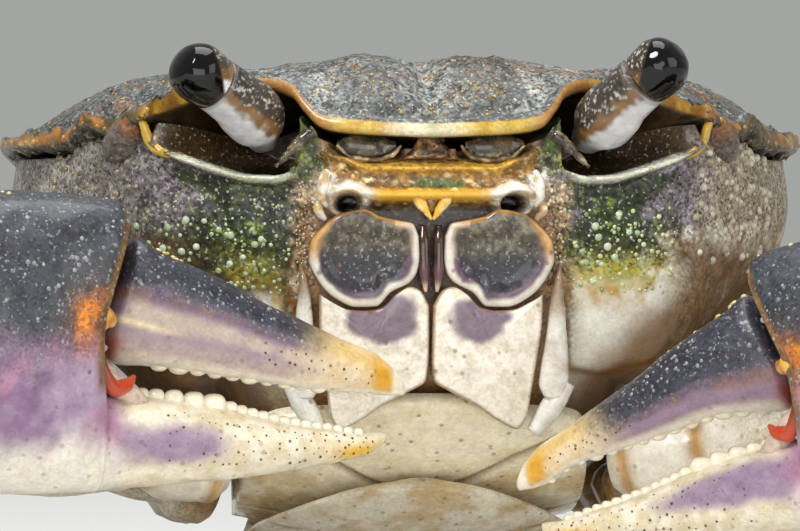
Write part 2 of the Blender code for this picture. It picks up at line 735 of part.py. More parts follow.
class ClawFrame:
    """The axes of a claw: U runs to the finger tips, V up the hand and W out of its outer face."""

    def __init__(self, side, hinge, turn_in, dip, scale):
        self.hinge = Vector(hinge)
        a, d = math.radians(turn_in), math.radians(dip)
        self.u = Vector((-side * math.cos(d) * math.cos(a), math.cos(d) * math.sin(a), -math.sin(d)))
        self.w = Vector((-side * math.sin(a), -math.cos(a), 0))
        self.v = self.u.cross(self.w) if side < 0 else self.w.cross(self.u)
        self.scale = scale

    def at(self, u, v, w):
        """The place of a point given along the claw's own axes."""
        s = self.scale
        u = u + float(hinge_lean(u, v))
        return self.hinge + self.u * (u * s) + self.v * (v * s) + self.w * (w * s)


def claw_shape(frame, rows, bend, roundness):
    """A hand or finger: an oval section along U, curved a little inwards towards the tip."""
    def place(ring, angle):
        found = []
        for i, turn in zip(ring, angle):
            u, high, low, half = rows[min(max(i - 1, 0), len(rows) - 1)]
            grow = 0.0 if i in (0, len(rows) + 1) else 1.0
            power = float(roundness(u))
            c, s = math.cos(turn), math.sin(turn)
            c = math.copysign(abs(c) ** power, c)
            s = math.copysign(abs(s) ** power, s)
            w = c * half * grow - bend * max(u, 0) ** 2
            v = (high + low) / 2 + s * (high - low) / 2 * grow
            found.append(frame.at(u, v, w))
        return found

    return ball(CLAW_SIDES, len(rows) + 1, place)


def teeth(frame, rows, places, lower, bend):
    """Small rounded teeth with their roots sunk in a biting edge."""
    table = spline(rows)
    made = []
    for u, radius in places:
        high, low, _ = table(np.array([u]))[0]
        v = high - 0.2 * radius if lower else low + 0.2 * radius
        shape = bmesh.new()
        bmesh.ops.create_icosphere(shape, subdivisions=1, radius=radius * frame.scale)
        bmesh.ops.translate(shape, vec=frame.at(u, v, -bend * u * u), verts=shape.verts)
        made.append(solid("biting_tooth", "pale", shape))
    return made


CLAW_BEND = 0.004
# The wrist from the elbow to the hand: share of the way, half size across and upright
WRIST = (
    (0.0, 0.7, 0.7), (0.05, 1.4, 1.5), (0.14, 2.4, 2.6), (0.28, 3.4, 3.7), (0.43, 3.8, 4.2), (0.57, 3.4, 3.9),
    (0.7, 2.3, 2.8), (0.82, 1.5, 1.9), (0.92, 1.1, 1.3), (1.0, 0.7, 0.8),
)


def make_claw(side, word, frame, shoulder, elbow):
    """One claw limb: the arm from the breast plate, the wrist, the hand and its moving finger."""
    hand = solid("claw_hand_" + word, "claw", claw_shape(frame, HAND, CLAW_BEND, claw_roundness))
    fuse(hand, teeth(frame, HAND, HAND_TEETH, True, CLAW_BEND))
    finger = solid("claw_finger_" + word, "claw", claw_shape(frame, FINGER, CLAW_BEND, lambda u: 0.85))
    fuse(finger, teeth(frame, FINGER, FINGER_TEETH, False, CLAW_BEND))
    palm_end = frame.at(HAND[0][0], -1.4, 0)
    wrist_end = palm_end - frame.u * 1.5
    start = Vector(elbow)
    outward = Vector((side, 0, 0))
    turn = wrist_end + Vector((4.2 * side, 3.6, -0.8))
    wrist = [start * (1 - t) ** 2 + turn * (2 * t * (1 - t)) + wrist_end * t * t for t, _, _ in WRIST]
    sizes = [(across, upright) for _, across, upright in WRIST]
    carpus = solid("claw_wrist_" + word, "claw", tube_shape(wrist, sizes, 14, 0.9))
    root = wrist[5] - outward * 1.2 + Vector((0, 0, 2.2))
    spine = bar(
        "spine", "claw",
        (root, root + Vector((-side * 1.5, 0.7, 0.9)), root + Vector((-side * 2.5, 1.2, 1.4))),
        (1.1, 0.7, 0.15), sides=8,
    )
    fuse(carpus, [spine])
    root = Vector(shoulder)
    end = start - (start - root).normalized() * 0.75
    span = end - root
    arm = [root, root + span * 0.04, root + span * 0.16, root + span * 0.24, root + span * 0.3,
           root + span * 0.5, root + span * 0.75, root + span * 0.93, end]
    arm_sizes = [(1.1, 1.1), (1.8, 1.8), (1.9, 2.0), (1.55, 1.6), (1.8, 2.0), (2.5, 2.9), (2.8, 3.2), (2.1, 2.3), (1.2, 1.3)]
    solid("claw_arm_" + word, "claw", tube_shape(arm, arm_sizes, 12, 0.85))


def swing(azimuth, elevation, side):
    """A unit way out from the body: azimuth forward of sideways, elevation above level, in degrees."""
    a, e = math.radians(azimuth), math.radians(elevation)
    return Vector((side * math.cos(a) * math.cos(e), -math.sin(a) * math.cos(e), math.sin(e)))


# The walking legs, front to back: hip place, azimuth, and the lengths of thigh, knee, shin and toe.
LEGS = (
    ((11.0, 11.2, -23.6), 14.0, (20.5, 8.5, 10.5, 11.5)),
    ((11.1, 15.7, -24.0), 0.0, (23.0, 9.5, 11.5, 12.5)),
    ((11.0, 20.2, -24.1), -17.0, (23.0, 9.5, 11.5, 12.5)),
    ((10.6, 24.8, -23.9), -37.0, (19.0, 8.0, 9.5, 10.5)),
)
LEG_SLOPES = (None, -5.0, -42.0, -68.0)
THIGH = ((0.0, 0.5, 0.5), (0.03, 0.85, 0.75), (0.1, 0.94, 0.85), (0.15, 0.72, 0.68), (0.22, 0.85, 0.85),
         (0.42, 0.95, 1.2), (0.66, 0.98, 1.32), (0.88, 0.9, 1.12), (0.97, 0.68, 0.78), (1.0, 0.4, 0.42))
KNEE = ((0.0, 0.2, 0.2), (0.05, 0.4, 0.4), (0.16, 0.65, 0.65), (0.42, 0.88, 0.95), (0.76, 0.98, 1.05),
        (0.94, 0.76, 0.8), (1.0, 0.4, 0.4))
SHIN = ((0.0, 0.2, 0.2), (0.05, 0.38, 0.4), (0.15, 0.62, 0.68), (0.45, 0.8, 0.95), (0.8, 0.72, 0.8),
        (0.95, 0.55, 0.58), (1.0, 0.3, 0.3))
TOE = ((0.0, 0.18, 0.18), (0.04, 0.34, 0.36), (0.14, 0.52, 0.56), (0.35, 0.5, 0.57), (0.65, 0.38, 0.43),
       (0.87, 0.27, 0.3))


def leg_piece(name, start, end, rows, size, sag=0.0, foot=False):
    """One leg piece from start to end: rows of (share, across, upright) times its size."""
    way = end - start
    points, sizes = [], []
    for share, across, upright in rows:
        droop = Vector((0, 0, -sag * 4 * share * (1 - share)))
        points.append(start + way * share + droop)
        sizes.append((across * size, upright * size))
    if foot:
        points.append(end)
        sizes.append((0.45, 0.4))
    return solid(name, "leg", tube_shape(points, sizes, LEG_SIDES, 0.85, flat_end=foot))


def make_leg(side, word, number):
    """One walking leg in four pieces, its toe ending in a small flat on the floor."""
    hip, azimuth, lengths = LEGS[number]
    start = Vector((hip[0] * side, hip[1], hip[2]))
    thigh, knee, shin, toe = lengths
    drop = [length * math.sin(math.radians(slope)) for length, slope in zip(lengths[1:], LEG_SLOPES[1:])]
    rise = FLOOR - start.z - sum(drop) + 2 * JOINT_GAP * math.sin(math.radians(30))
    lift = math.degrees(math.asin(rise / thigh))
    slopes = (lift, *LEG_SLOPES[1:])
    pieces = (("thigh", THIGH, 2.15), ("knee", KNEE, 2.1), ("shin", SHIN, 2.1), ("toe", TOE, 2.1))
    for i, (piece, rows, size) in enumerate(pieces):
        way = swing(azimuth, slopes[i], side)
        end = start + way * lengths[i]
        if piece == "toe":
            end.z = FLOOR
        sag = 1.2 if piece == "thigh" else 0.0
        leg_piece(f"leg{number + 1}_{piece}_{word}", start, end, rows, size, sag, foot=piece == "toe")
        if piece != "toe":
            start = end + (way + swing(azimuth, slopes[i + 1], side)).normalized() * JOINT_GAP


def stand_on_origin():
    """Moves every piece so that the middle of the base of the crab's box is the origin."""
    corners = [np.array([v.co for v in obj.data.vertices]) for obj in bpy.context.scene.objects]
    every = np.vstack(corners)
    low, high = every.min(axis=0), every.max(axis=0)
    shift = Vector((-(low[0] + high[0]) / 2, -(low[1] + high[1]) / 2, -low[2]))
    for obj in bpy.context.scene.objects:
        for vert in obj.data.vertices:
            vert.co += shift


def main():
    for obj in list(bpy.data.objects):
        bpy.data.objects.remove(obj)
    make_shell()
    make_body()
    make_underside()
    right = ClawFrame(-1, (-17.6, -9.6, -12.4), 12.0, 0.0, 1.0)
    left = ClawFrame(1, (17.0, -10.2, -14.9), 26.0, 10.0, 0.98)
    elbows = ((-30.5, -0.2, -18.2), (30.8, -4.0, -16.8))
    for side, word, frame, elbow in ((-1, "right", right, elbows[0]), (1, "left", left, elbows[1])):
        make_mouth(side, word)
        make_feelers(side, word)
        make_eye(side, word)
        make_claw(side, word, frame, (10.6 * side, 6.4, -21.8), elbow)
        for number in range(len(LEGS)):
            make_leg(side, word, number)
    stand_on_origin()


main()
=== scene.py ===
"""A freshwater crab seen close from the front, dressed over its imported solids.

The crab faces -Y, +Z is up, and its own right side is towards -X. Shape functions work in
millimetres in the body's axes, whose origin is the middle of the front margin of the shell,
level with the top of the shell. Meshes are written in metres in the row's frame.
"""

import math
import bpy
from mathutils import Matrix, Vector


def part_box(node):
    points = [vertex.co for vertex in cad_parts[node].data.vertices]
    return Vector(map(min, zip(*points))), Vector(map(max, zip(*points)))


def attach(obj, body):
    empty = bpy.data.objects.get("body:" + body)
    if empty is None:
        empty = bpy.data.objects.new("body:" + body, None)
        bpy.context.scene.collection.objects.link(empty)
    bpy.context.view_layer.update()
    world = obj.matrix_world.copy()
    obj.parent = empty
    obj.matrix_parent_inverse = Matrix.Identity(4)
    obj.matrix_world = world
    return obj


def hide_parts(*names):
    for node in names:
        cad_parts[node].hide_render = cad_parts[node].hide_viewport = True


bl_info = {
    "name": "Freshwater crab",
    "version": (1, 0, 0),
    "blender": (4, 5, 0),
    "location": "3D View > Sidebar > Crab",
    "description": "Builds a life-size freshwater crab with a wet, mottled shell",
    "category": "Add Mesh",
}

import bmesh
import bpy
import numpy as np
from mathutils import Vector

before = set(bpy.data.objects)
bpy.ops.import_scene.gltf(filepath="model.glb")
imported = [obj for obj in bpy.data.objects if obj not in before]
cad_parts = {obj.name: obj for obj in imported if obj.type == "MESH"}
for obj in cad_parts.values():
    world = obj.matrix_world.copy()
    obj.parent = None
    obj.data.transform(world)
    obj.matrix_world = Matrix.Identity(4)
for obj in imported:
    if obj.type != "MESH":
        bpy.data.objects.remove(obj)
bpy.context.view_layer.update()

MM = 0.001
GAP = 0.32  # between the breast plate and the body, twice over
JOINT_GAP = 0.65  # between two pieces of a leg
SHELL_GAP = 0.5
FLOOR = -31
RIM_RADIUS = 0.28
SHELL_MIDDLE = np.array([0.0, 15.0])
BODY_MIDDLE = np.array([0.0, 17.0])
INNER_SHELL = -4.6  # the shell's inner face at its middle, as Z
ORBIT_DEPTH = 4.6
PLATE_THICKNESS = 1
PLATE_ROUNDING = 0.28
PLATE_SPREAD = 0.13  # how far a mouth plate reaches past its outline
# The body's origin in the row's frame, in metres
HOME = np.array([0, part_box("carapace")[0][1], -FLOOR * MM])
SIDES = ((-1, "right"), (1, "left"))


def length(vectors):
    """The length of a vector, or of each row of a table of vectors."""
    return np.linalg.norm(vectors, axis=-1)


def unit(vectors):
    """A vector, or each row of a table of vectors, brought to length 1."""
    return vectors / np.maximum(length(vectors), 1e-6)[..., None]


def spline(points):
    """A smooth curve through rows of (place, value, ...), with no overshoot between rows."""
    rows = np.array(points, float)
    at, value = rows[:, 0], rows[:, 1:]
    slope = np.diff(value, axis=0) / np.diff(at)[:, None]
    before, after = slope[:-1], slope[1:]
    same_way = before * after > 0
    inner = np.where(same_way, 2 * before * after / np.where(same_way, before + after, 1), 0)
    tangent = np.vstack([slope[:1], inner, slope[-1:]])

    def curve(place):
        place = np.clip(np.asarray(place, float), at[0], at[-1])
        i = np.clip(np.searchsorted(at, place, side="right") - 1, 0, len(at) - 2)
        h = (at[i + 1] - at[i])[..., None]
        u = (place - at[i])[..., None] / h
        found = value[i] * (1 + 2 * u) * (1 - u) ** 2 + value[i + 1] * u**2 * (3 - 2 * u)
        found = found + tangent[i] * h * u * (1 - u) ** 2 + tangent[i + 1] * h * u**2 * (u - 1)
        return found[..., 0] if found.shape[-1] == 1 else found

    return curve


def smooth(low, high, x):
    """0 below low, 1 above high and an even S between them; it falls where low is above high."""
    t = np.clip((x - low) / (high - low), 0, 1)
    return t * t * (3 - 2 * t)


def band(x, a, b, c, d):
    """Rises from a to b and falls again from c to d."""
    return smooth(a, b, x) * smooth(d, c, x)


def bell(distance, size):
    """1 at no distance, fading out over about a size."""
    return np.exp(-((distance / size) ** 2))


def lump(x, y, at, size):
    """A round bump of height 1 at a place, fading out over about its size."""
    return bell(x - at[0], size[0]) * bell(y - at[1], size[1])


def run(*stretches):
    """Evenly spaced places through stretches of (from, to, how many), joined end to end."""
    rows = [np.linspace(a, b, count) for a, b, count in stretches]
    return np.concatenate([row[:-1] for row in rows[:-1]] + rows[-1:])


def by_length(points, power=0.8):
    """Rows of (share of the way, x, y, ...) for a run of points, close points getting more share."""
    rows = np.array(points, float)
    steps = length(np.diff(rows, axis=0)) ** power
    return np.column_stack([np.append(0, np.cumsum(steps)) / steps.sum(), rows])


# The right half of the shell's rim (x, y, z), from the middle of the front to the middle of the back:
# the front lip, the notch over the eye, the two teeth, the side and the hind margin; then, in plan at
# the same places, the wall under the rim (x, y) and the wall's lower edge (x, y).
OUTLINE = (
    (0, 0, -3.65, 0, 0.9, 0, 2.8), (2.5, 0, -3.55, 2.5, 0.9, 2.3, 2.8), (4.6, 0.2, -3.42, 4.6, 0.9, 4.1, 3),
    (5.95, 0.65, -3.12, 6, 0.95, 5.3, 3.5), (6.75, 1.25, -2.3, 6.9, 1, 6.1, 4.1),
    (7.45, 2, -1.4, 7.6, 1.05, 6.8, 4.7), (8.8, 2.9, -0.95, 8.9, 1.15, 7.8, 5.3),
    (10.5, 3.5, -1.15, 10.5, 1.45, 8.9, 5.9), (12.5, 3.5, -1.6, 12.4, 1.95, 9.9, 6.6),
    (14.1, 2.9, -2.2, 13.9, 2.6, 10.4, 7.3), (15.1, 2.2, -2.55, 14.9, 3.2, 10.6, 8),
    (16, 3.2, -3, 15.8, 4.1, 10.75, 8.8), (16.9, 4.7, -3.55, 16.7, 5.3, 10.8, 9.6),
    (17.5, 5.3, -3.35, 17.3, 6, 10.85, 10.3), (18.2, 5.9, -3.1, 17.9, 6.8, 10.9, 11),
    (19, 7.4, -3.7, 18.7, 8.1, 10.9, 12), (19.8, 8.9, -4.05, 19.4, 9.4, 10.9, 13),
    (21.3, 11.5, -4.05, 20.8, 12, 10.9, 14.5), (22.3, 14.5, -4, 21.7, 14.8, 10.9, 16.2),
    (22.6, 17.5, -4.15, 22, 17.6, 10.8, 18), (22, 21, -4.7, 21.4, 20.9, 10.6, 20),
    (20.6, 24.8, -5.7, 20, 24.4, 10.2, 22), (18, 28.8, -7.2, 17.4, 28, 9.4, 24.2),
    (14.6, 32.2, -9, 13.9, 31, 8.2, 26), (11.2, 34.4, -10.3, 10.6, 33, 6.8, 27.2),
    (8.4, 35.4, -10.8, 8, 33.8, 5.4, 27.8), (4.2, 35.8, -11, 4.1, 34.1, 2.8, 28.2), (0, 35.9, -11, 0, 34.2, 0, 28.3),
)
RIM_ROWS = by_length(np.array(OUTLINE)[:, :3])
STATIONS = RIM_ROWS[:, 0]
RIM = spline(RIM_ROWS)
WALL, KEEL = (spline(np.column_stack([STATIONS, np.array(OUTLINE)[:, columns]])) for columns in ((3, 4), (5, 6)))

# The level of the body's underside, along Y
UNDER = spline(((-2, -16.5), (3, -16.9), (6, -18.6), (9, -20.2), (14, -21.3), (22, -21.4), (28, -20.6), (36, -18.5)))
# The lower face of the breast plate on the midline, along Y
BREAST = spline((
    (2, -17.6), (4, -19.4), (6, -21.2), (8, -22.6), (10, -23.7), (12, -24.5), (16, -25.5), (20, -25.9), (26, -25.7),
    (30, -24.4), (33, -22),
))
# How much of the way to its lower edge the wall has drawn in, at each share of its height
SIDE_INSET = spline(((0, 0.026), (0.15, 0), (0.33, 0.06), (0.5, 0.224), (0.7, 0.534), (0.87, 0.793), (1, 1)))
CHEEK_INSET = spline(((0, 0), (0.3, 0), (0.6, 0.1), (0.78, 0.25), (0.9, 0.46), (0.96, 0.667), (1, 1)))
MOUTH_INSET = spline(((0, 0), (0.35, 0), (0.6, 0.21), (0.85, 0.58), (1, 1)))
REAR_INSET = spline(((0, 0), (0.2, 0.03), (0.5, 0.21), (0.8, 0.57), (1, 1)))
# The lower edge of the eye socket, by distance from the midline
SOCKET_EDGE = spline(((7, -5.7), (8.3, -6.05), (9.6, -6), (11, -5.65), (12.4, -5.2), (13.6, -4.7), (14.8, -4)))


def both_sides(angle, curve):
    """The curve's points at angles round the crab: 0 is the front, pi the back, and + is its left."""
    found = curve(np.abs(angle) / math.pi)
    found[..., 0] *= np.where(angle < 0, -1, 1)
    return found


def shell_top(x, y):
    """The height of the back of the shell, without its rolled rim."""
    across = 5.4 * (np.abs(x) / 26) ** 2.6
    fore = 2 * (np.clip(10 - y, 0, None) / 10) ** 1.8
    aft = 10.5 * (np.clip(y - 11, 0, None) / 25) ** 1.9
    z = 0.75 - across - fore - aft - 0.5 * lump(x, y, (0, 4.5), (0.75, 4.2)) - 0.3 * lump(x, y, (0, 21), (7, 1.2))
    for side in (-1, 1):
        z = z + 0.42 * lump(x, y, (3.1 * side, 5.6), (2.4, 2.3)) + 0.3 * lump(x, y, (14.5 * side, 12), (4.5, 4.5))
        z = z - 0.35 * lump(x, y, (8.6 * side, 10.5), (1.3, 4.5))
    return z


def shell_under(share, rim_z):
    """The height of the shell's inner face: the rim's level at its edge, and flatter within."""
    return INNER_SHELL + (rim_z - RIM_RADIUS - INNER_SHELL) * share**2.2


def shell_point(share, angle, upper):
    """A point of the shell: share 0 is its middle and 1 its rolled rim."""
    rim = both_sides(angle, RIM)
    x, y = (SHELL_MIDDLE + (rim[..., :2] - SHELL_MIDDLE) * share[..., None]).T
    inward = np.clip((1 - share) * length(rim[..., :2] - SHELL_MIDDLE), 0, RIM_RADIUS)
    rise = np.sqrt(RIM_RADIUS**2 - (RIM_RADIUS - inward) ** 2)
    start = 0.58 + 0.2 * smooth(0.3, 1.2, np.abs(angle))
    edge = np.clip((share - start) / (1 - start), 0, 1) ** 2.2
    dome = shell_top(x, y) * (1 - edge) + (rim[..., 2] + rise) * edge
    under = shell_under(share, rim[..., 2]) - (rise - RIM_RADIUS) * (share > 0.97)
    return np.column_stack([x, y, np.where(upper, dome, np.where(share >= 1, rim[..., 2], under))])


def carve_face(x, z, along):
    """How far the face is sunk at (x, z): the eye sockets, the feeler pits and the mouth."""
    far = np.abs(x)
    socket = band(far, 6.9, 8, 14, 15.2)
    sunk = ORBIT_DEPTH * socket * smooth(0, 0.9, z - SOCKET_EDGE(far))
    sunk = np.maximum(sunk, 1.7 * band(far, 1.1, 1.9, 5, 5.9) * smooth(-5.3, -4.7, z))
    sunk = np.maximum(sunk, 0.5 * smooth(7, 5.6, far) * smooth(-6, -5.4, z))
    half = 7.1 + 0.95 * smooth(10.8, 12, -z)
    mouth = smooth(half + 0.25, half - 0.25, far) * smooth(-7.4, -7.75, z)
    wanted = plate_front(z) + PLATE_THICKNESS + GAP + 0.15
    sunk = np.maximum(sunk, mouth * np.clip(wanted - along, 0, None))
    ridge = -0.45 * smooth(0.5, 0, np.abs(z - SOCKET_EDGE(far))) * socket
    return np.where(sunk > 0.05, sunk, ridge)


def sink(x, y, depth):
    """Points moved back by a depth along Y, each straight towards the middle of the shell."""
    share = depth / (SHELL_MIDDLE[1] - np.minimum(y, 8))
    return x - x * share, y + (SHELL_MIDDLE[1] - y) * share


def plate_front(z):
    """The front face of the mouth's plates, as Y, at a height."""
    return 0.1 + 0.3 * smooth(8, 12.5, -z) + 1.7 * np.clip((-12 - z) / 8, 0, None) ** 1.3


def wall_point(share, angle):
    """A point of the body's wall: share 0 is under the rim and 1 the lower edge."""
    rim, wall = both_sides(angle, RIM), both_sides(angle, WALL)
    x, y = wall[..., 0], wall[..., 1]
    in_front = y < 7
    top = np.column_stack(sink(x, y, np.where(in_front, carve_face(x, rim[..., 2] - 1, y), 0)))
    reach = length(top - SHELL_MIDDLE) / length(rim[..., :2] - SHELL_MIDDLE)
    top = shell_under(np.clip(reach, 0, 1), rim[..., 2]) - SHELL_GAP
    z = top + (UNDER(y) - top) * share
    inset = MOUTH_INSET(share)
    for curve, first, last in ((CHEEK_INSET, 4, 7), (SIDE_INSET, 9, 17), (REAR_INSET, 20, 24)):
        there = smooth(STATIONS[first], STATIONS[last], np.abs(angle) / math.pi)
        inset = inset * (1 - there) + curve(share) * there
    x, y = (wall + (both_sides(angle, KEEL) - wall) * inset[:, None]).T
    return np.column_stack([*sink(x, y, np.where(in_front, carve_face(x, z, y), 0)), z])


def body_point(share, angle, part):
    """A point of the body, by part: 0 its hidden top, 1 its wall, 2 its hidden underside."""
    wall = wall_point(np.where(part == 1, share, np.where(part == 0, 0, 1)), angle)
    rim = both_sides(angle, RIM)
    reach = length(wall[:, :2] - SHELL_MIDDLE)
    covered = np.clip(share * reach / np.maximum(length(rim[:, :2] - SHELL_MIDDLE), reach), 0, 1)
    top_z = np.minimum(shell_under(covered, rim[:, 2]) - SHELL_GAP, -0.6)
    top = np.column_stack([SHELL_MIDDLE + (wall[:, :2] - SHELL_MIDDLE) * share[:, None], top_z])
    plan = BODY_MIDDLE + (wall[:, :2] - BODY_MIDDLE) * share[:, None]
    under = np.column_stack([plan, UNDER(plan[:, 1])])
    return np.where((part == 0)[:, None], top, np.where((part == 1)[:, None], wall, under))


# The mouth's plates on the crab's left, as (distance from the midline, height)
UPPER_PLATE = (
    (0.82, -9.2), (1.13, -8.55), (1.81, -8.42), (2.79, -8.22), (3.57, -7.85), (4.75, -8.06), (5.7, -8.75),
    (6.3, -9.5), (6.4, -10.3), (5.95, -11.4), (5.1, -12.3), (3.96, -12.78), (2.98, -12.75), (2.2, -12),
    (1.3, -11.55), (0.9, -11), (0.78, -10.3),
)
LOWER_PLATE = (
    (0.22, -12.9), (0.7, -12.1), (1.2, -11.92), (1.9, -12.3), (2.7, -13.05), (3.4, -13.2), (4.2, -13.15),
    (5.2, -12.7), (5.85, -12.3), (5.8, -13.85), (5.6, -15.4), (5.4, -17), (5.2, -18.5), (4.7, -19.3),
    (3.8, -18.9), (2.5, -18), (1.2, -17.3), (0.3, -16.7), (0.2, -15.2),
)
# The strip outside them, as (height, inner edge, outer edge)
OUTER_PLATE = (
    (-11, 6.75, 6.95), (-11.6, 6.55, 7), (-12.7, 6.35, 7.1), (-14.2, 6.2, 7.25), (-15.7, 5.98, 7.4),
    (-17, 5.85, 7.45), (-17.6, 6.1, 7.2),
)
# The hand and its two fingers, seen on the outer face with the fingers towards +U:
# rows of (U, upper edge, lower edge, half thickness).
HAND = (
    (-15.4, 1.2, -3.9, 1.3), (-14.7, 2.5, -5.3, 2.1), (-12.6, 4.3, -7.6, 3.4), (-9, 5.2, -9.1, 4.5),
    (-4.8, 5.45, -9.65, 4.7), (-1, 5, -9.6, 4.1), (-0.3, 4.3, -9.6, 3.75), (-0.22, 1.6, -9.6, 3.65),
    (-0.13, -1.2, -9.58, 3.55), (-0.03, -2.9, -9.56, 3.45), (0.08, -4.25, -9.55, 3.3), (4, -5.1, -9.3, 2.5),
    (6.6, -5.6, -9.08, 2.25), (9.4, -6.25, -8.78, 1.95), (12, -6.65, -8.4, 1.5), (13.9, -6.9, -8, 1),
    (15, -6.85, -7.4, 0.45),
)
FINGER = (
    (0.32, 2.5, -2.6, 1.6), (0.8, 3.1, -3.15, 2.3), (2.4, 2.5, -3.35, 2.5), (4.2, 1.8, -3.6, 2.35),
    (6.15, 1, -3.9, 2.1), (8.1, -0.05, -4.2, 1.85), (10.4, -1.05, -4.55, 1.5), (12.6, -2.05, -4.77, 1.15),
    (14.4, -2.8, -4.92, 0.85), (15.5, -3.6, -5, 0.55), (16.1, -4.4, -5, 0.3),
)
CLAW_BEND = 0.004
FINGER_ROUNDNESS = 0.85


def hinge_lean(u, v):
    """How far along U the claw's material shifts, so that the palm's end slants out above the hinge."""
    return smooth(5, 0, np.abs(u)) * (0.17 * (v + 1.2 + np.sqrt((v + 1.2) ** 2 + 0.2)) - 0.6)


def claw_roundness(u, rows):
    """The power that shapes a section: the hand is boxy where the palm ends, so that the finger runs on."""
    return FINGER_ROUNDNESS - 0.25 * band(u, -6, -1, -0.2, 0.05) * (rows is HAND)


# Shares of the way with the half size across and upright: the wrist from the elbow to the hand,
# the arm from the breast plate to the elbow, and the four kinds of leg piece.
WRIST = (
    (0, 0.7, 0.7), (0.05, 1.4, 1.5), (0.14, 2.4, 2.6), (0.28, 3.4, 3.7), (0.43, 3.8, 4.2), (0.57, 3.4, 3.9),
    (0.7, 2.3, 2.8), (0.82, 1.5, 1.9), (0.92, 1.1, 1.3), (1, 0.7, 0.8),
)
ARM = (
    (0, 1.1, 1.1), (0.04, 1.8, 1.8), (0.16, 1.9, 2), (0.24, 1.55, 1.6), (0.3, 1.8, 2), (0.5, 2.5, 2.9),
    (0.75, 2.8, 3.2), (0.93, 2.1, 2.3), (1, 1.2, 1.3),
)
ARM_ROOT = (10.6, 6.4, -21.8)
THIGH = (
    (0, 0.5, 0.5), (0.03, 0.85, 0.75), (0.1, 0.94, 0.85), (0.15, 0.72, 0.68), (0.22, 0.85, 0.85),
    (0.42, 0.95, 1.2), (0.66, 0.98, 1.32), (0.88, 0.9, 1.12), (0.97, 0.68, 0.78), (1, 0.46, 0.5),
)
KNEE = (
    (0, 0.46, 0.5), (0.05, 0.46, 0.5), (0.16, 0.65, 0.65), (0.42, 0.88, 0.95), (0.76, 0.98, 1.05), (0.94, 0.76, 0.8),
    (1, 0.46, 0.5),
)
SHIN = (
    (0, 0.46, 0.5), (0.05, 0.46, 0.5), (0.15, 0.62, 0.68), (0.45, 0.8, 0.95), (0.8, 0.72, 0.8), (0.95, 0.55, 0.58),
    (1, 0.46, 0.5),
)
TOE = (
    (0, 0.45, 0.5), (0.04, 0.45, 0.5), (0.14, 0.52, 0.56), (0.35, 0.5, 0.57), (0.65, 0.38, 0.43), (0.87, 0.27, 0.3),
)
TOE_TIP = (0.3, 0.3)
LEG_PIECES = (("thigh", THIGH, 2.15), ("knee", KNEE, 2.1), ("shin", SHIN, 2.1), ("toe", TOE, 2.1))
# The walking legs, front to back: hip place, azimuth, and the lengths of thigh, knee, shin and toe
LEGS = (
    ((11, 11.2, -23.6), 14, (20.5, 8.5, 10.5, 11.5)),
    ((11.1, 15.7, -24), 0, (23, 9.5, 11.5, 12.5)),
    ((11, 20.2, -24.1), -17, (23, 9.5, 11.5, 12.5)),
    ((10.6, 24.8, -23.9), -37, (19, 8, 9.5, 10.5)),
)
# How far knee, shin and toe rise, in degrees; the thigh makes up the rest of the way to the floor
LEG_SLOPES = (-5, -42, -68)
STERNUM_LINE = (
    (0, 2.75), (2.4, 3), (3.8, 3.7), (5.2, 4.4), (7, 4.5), (8.4, 5), (9.2, 7), (9.5, 11), (9.6, 16), (9.5, 20),
    (9, 24.5), (7.6, 28.2), (4.7, 30.5), (0, 31.2),
)
# The tail flap's middle line: share of the way, y, z and half width
TAIL_ROWS = (
    (0, 6.3, -22.5, 1.2), (0.03, 6.6, -22.8, 3), (0.1, 8.6, -24.2, 6.4), (0.2, 11.8, -25.65, 8.6),
    (0.32, 16, -26.75, 9.3), (0.45, 20.5, -27.15, 9.1), (0.6, 26, -26.95, 8.4), (0.7, 30, -25.7, 7.6),
    (0.8, 33.4, -22.7, 6.8), (0.9, 35.2, -17.6, 6.1), (1, 35.35, -12.3, 5.4),
)
TAIL_THICKNESS = 0.9
# Each eye stalk's middle line on its own side, with its half thickness, and the same for its eye
STALKS = {
    "right": (
        (8.7, 4, -3.9, 0.85), (8.95, 2.9, -3.45, 1.15), (9.3, 1.7, -2.85, 1.65), (9.75, 1, -2.45, 1.68),
        (10.4, 0.35, -1.95, 1.52), (11.05, -0.15, -1.5, 1.5), (11.45, -0.45, -1.25, 1.5),
    ),
    "left": (
        (8.7, 4, -3.9, 0.85), (8.95, 2.9, -3.5, 1.15), (9.35, 1.7, -2.95, 1.65), (9.7, 1.1, -2.5, 1.68),
        (10.25, 0.5, -1.85, 1.52), (10.8, 0.05, -1.3, 1.5), (11.02, -0.17, -1.06, 1.5),
    ),
}
EYES = {
    "right": (
        (11.7, -0.64, -1.1, 1.48), (12, -0.85, -0.92, 1.55), (12.45, -1.2, -0.62, 1.58), (12.9, -1.5, -0.35, 1.4),
        (13.25, -1.75, -0.12, 1), (13.4, -1.85, -0.02, 0.5),
    ),
    "left": (
        (11.35, -0.4, -0.73, 1.48), (11.65, -0.6, -0.5, 1.55), (12.05, -0.9, -0.12, 1.58), (12.4, -1.15, 0.22, 1.38),
        (12.7, -1.35, 0.5, 1), (12.85, -1.45, 0.65, 0.5),
    ),
}


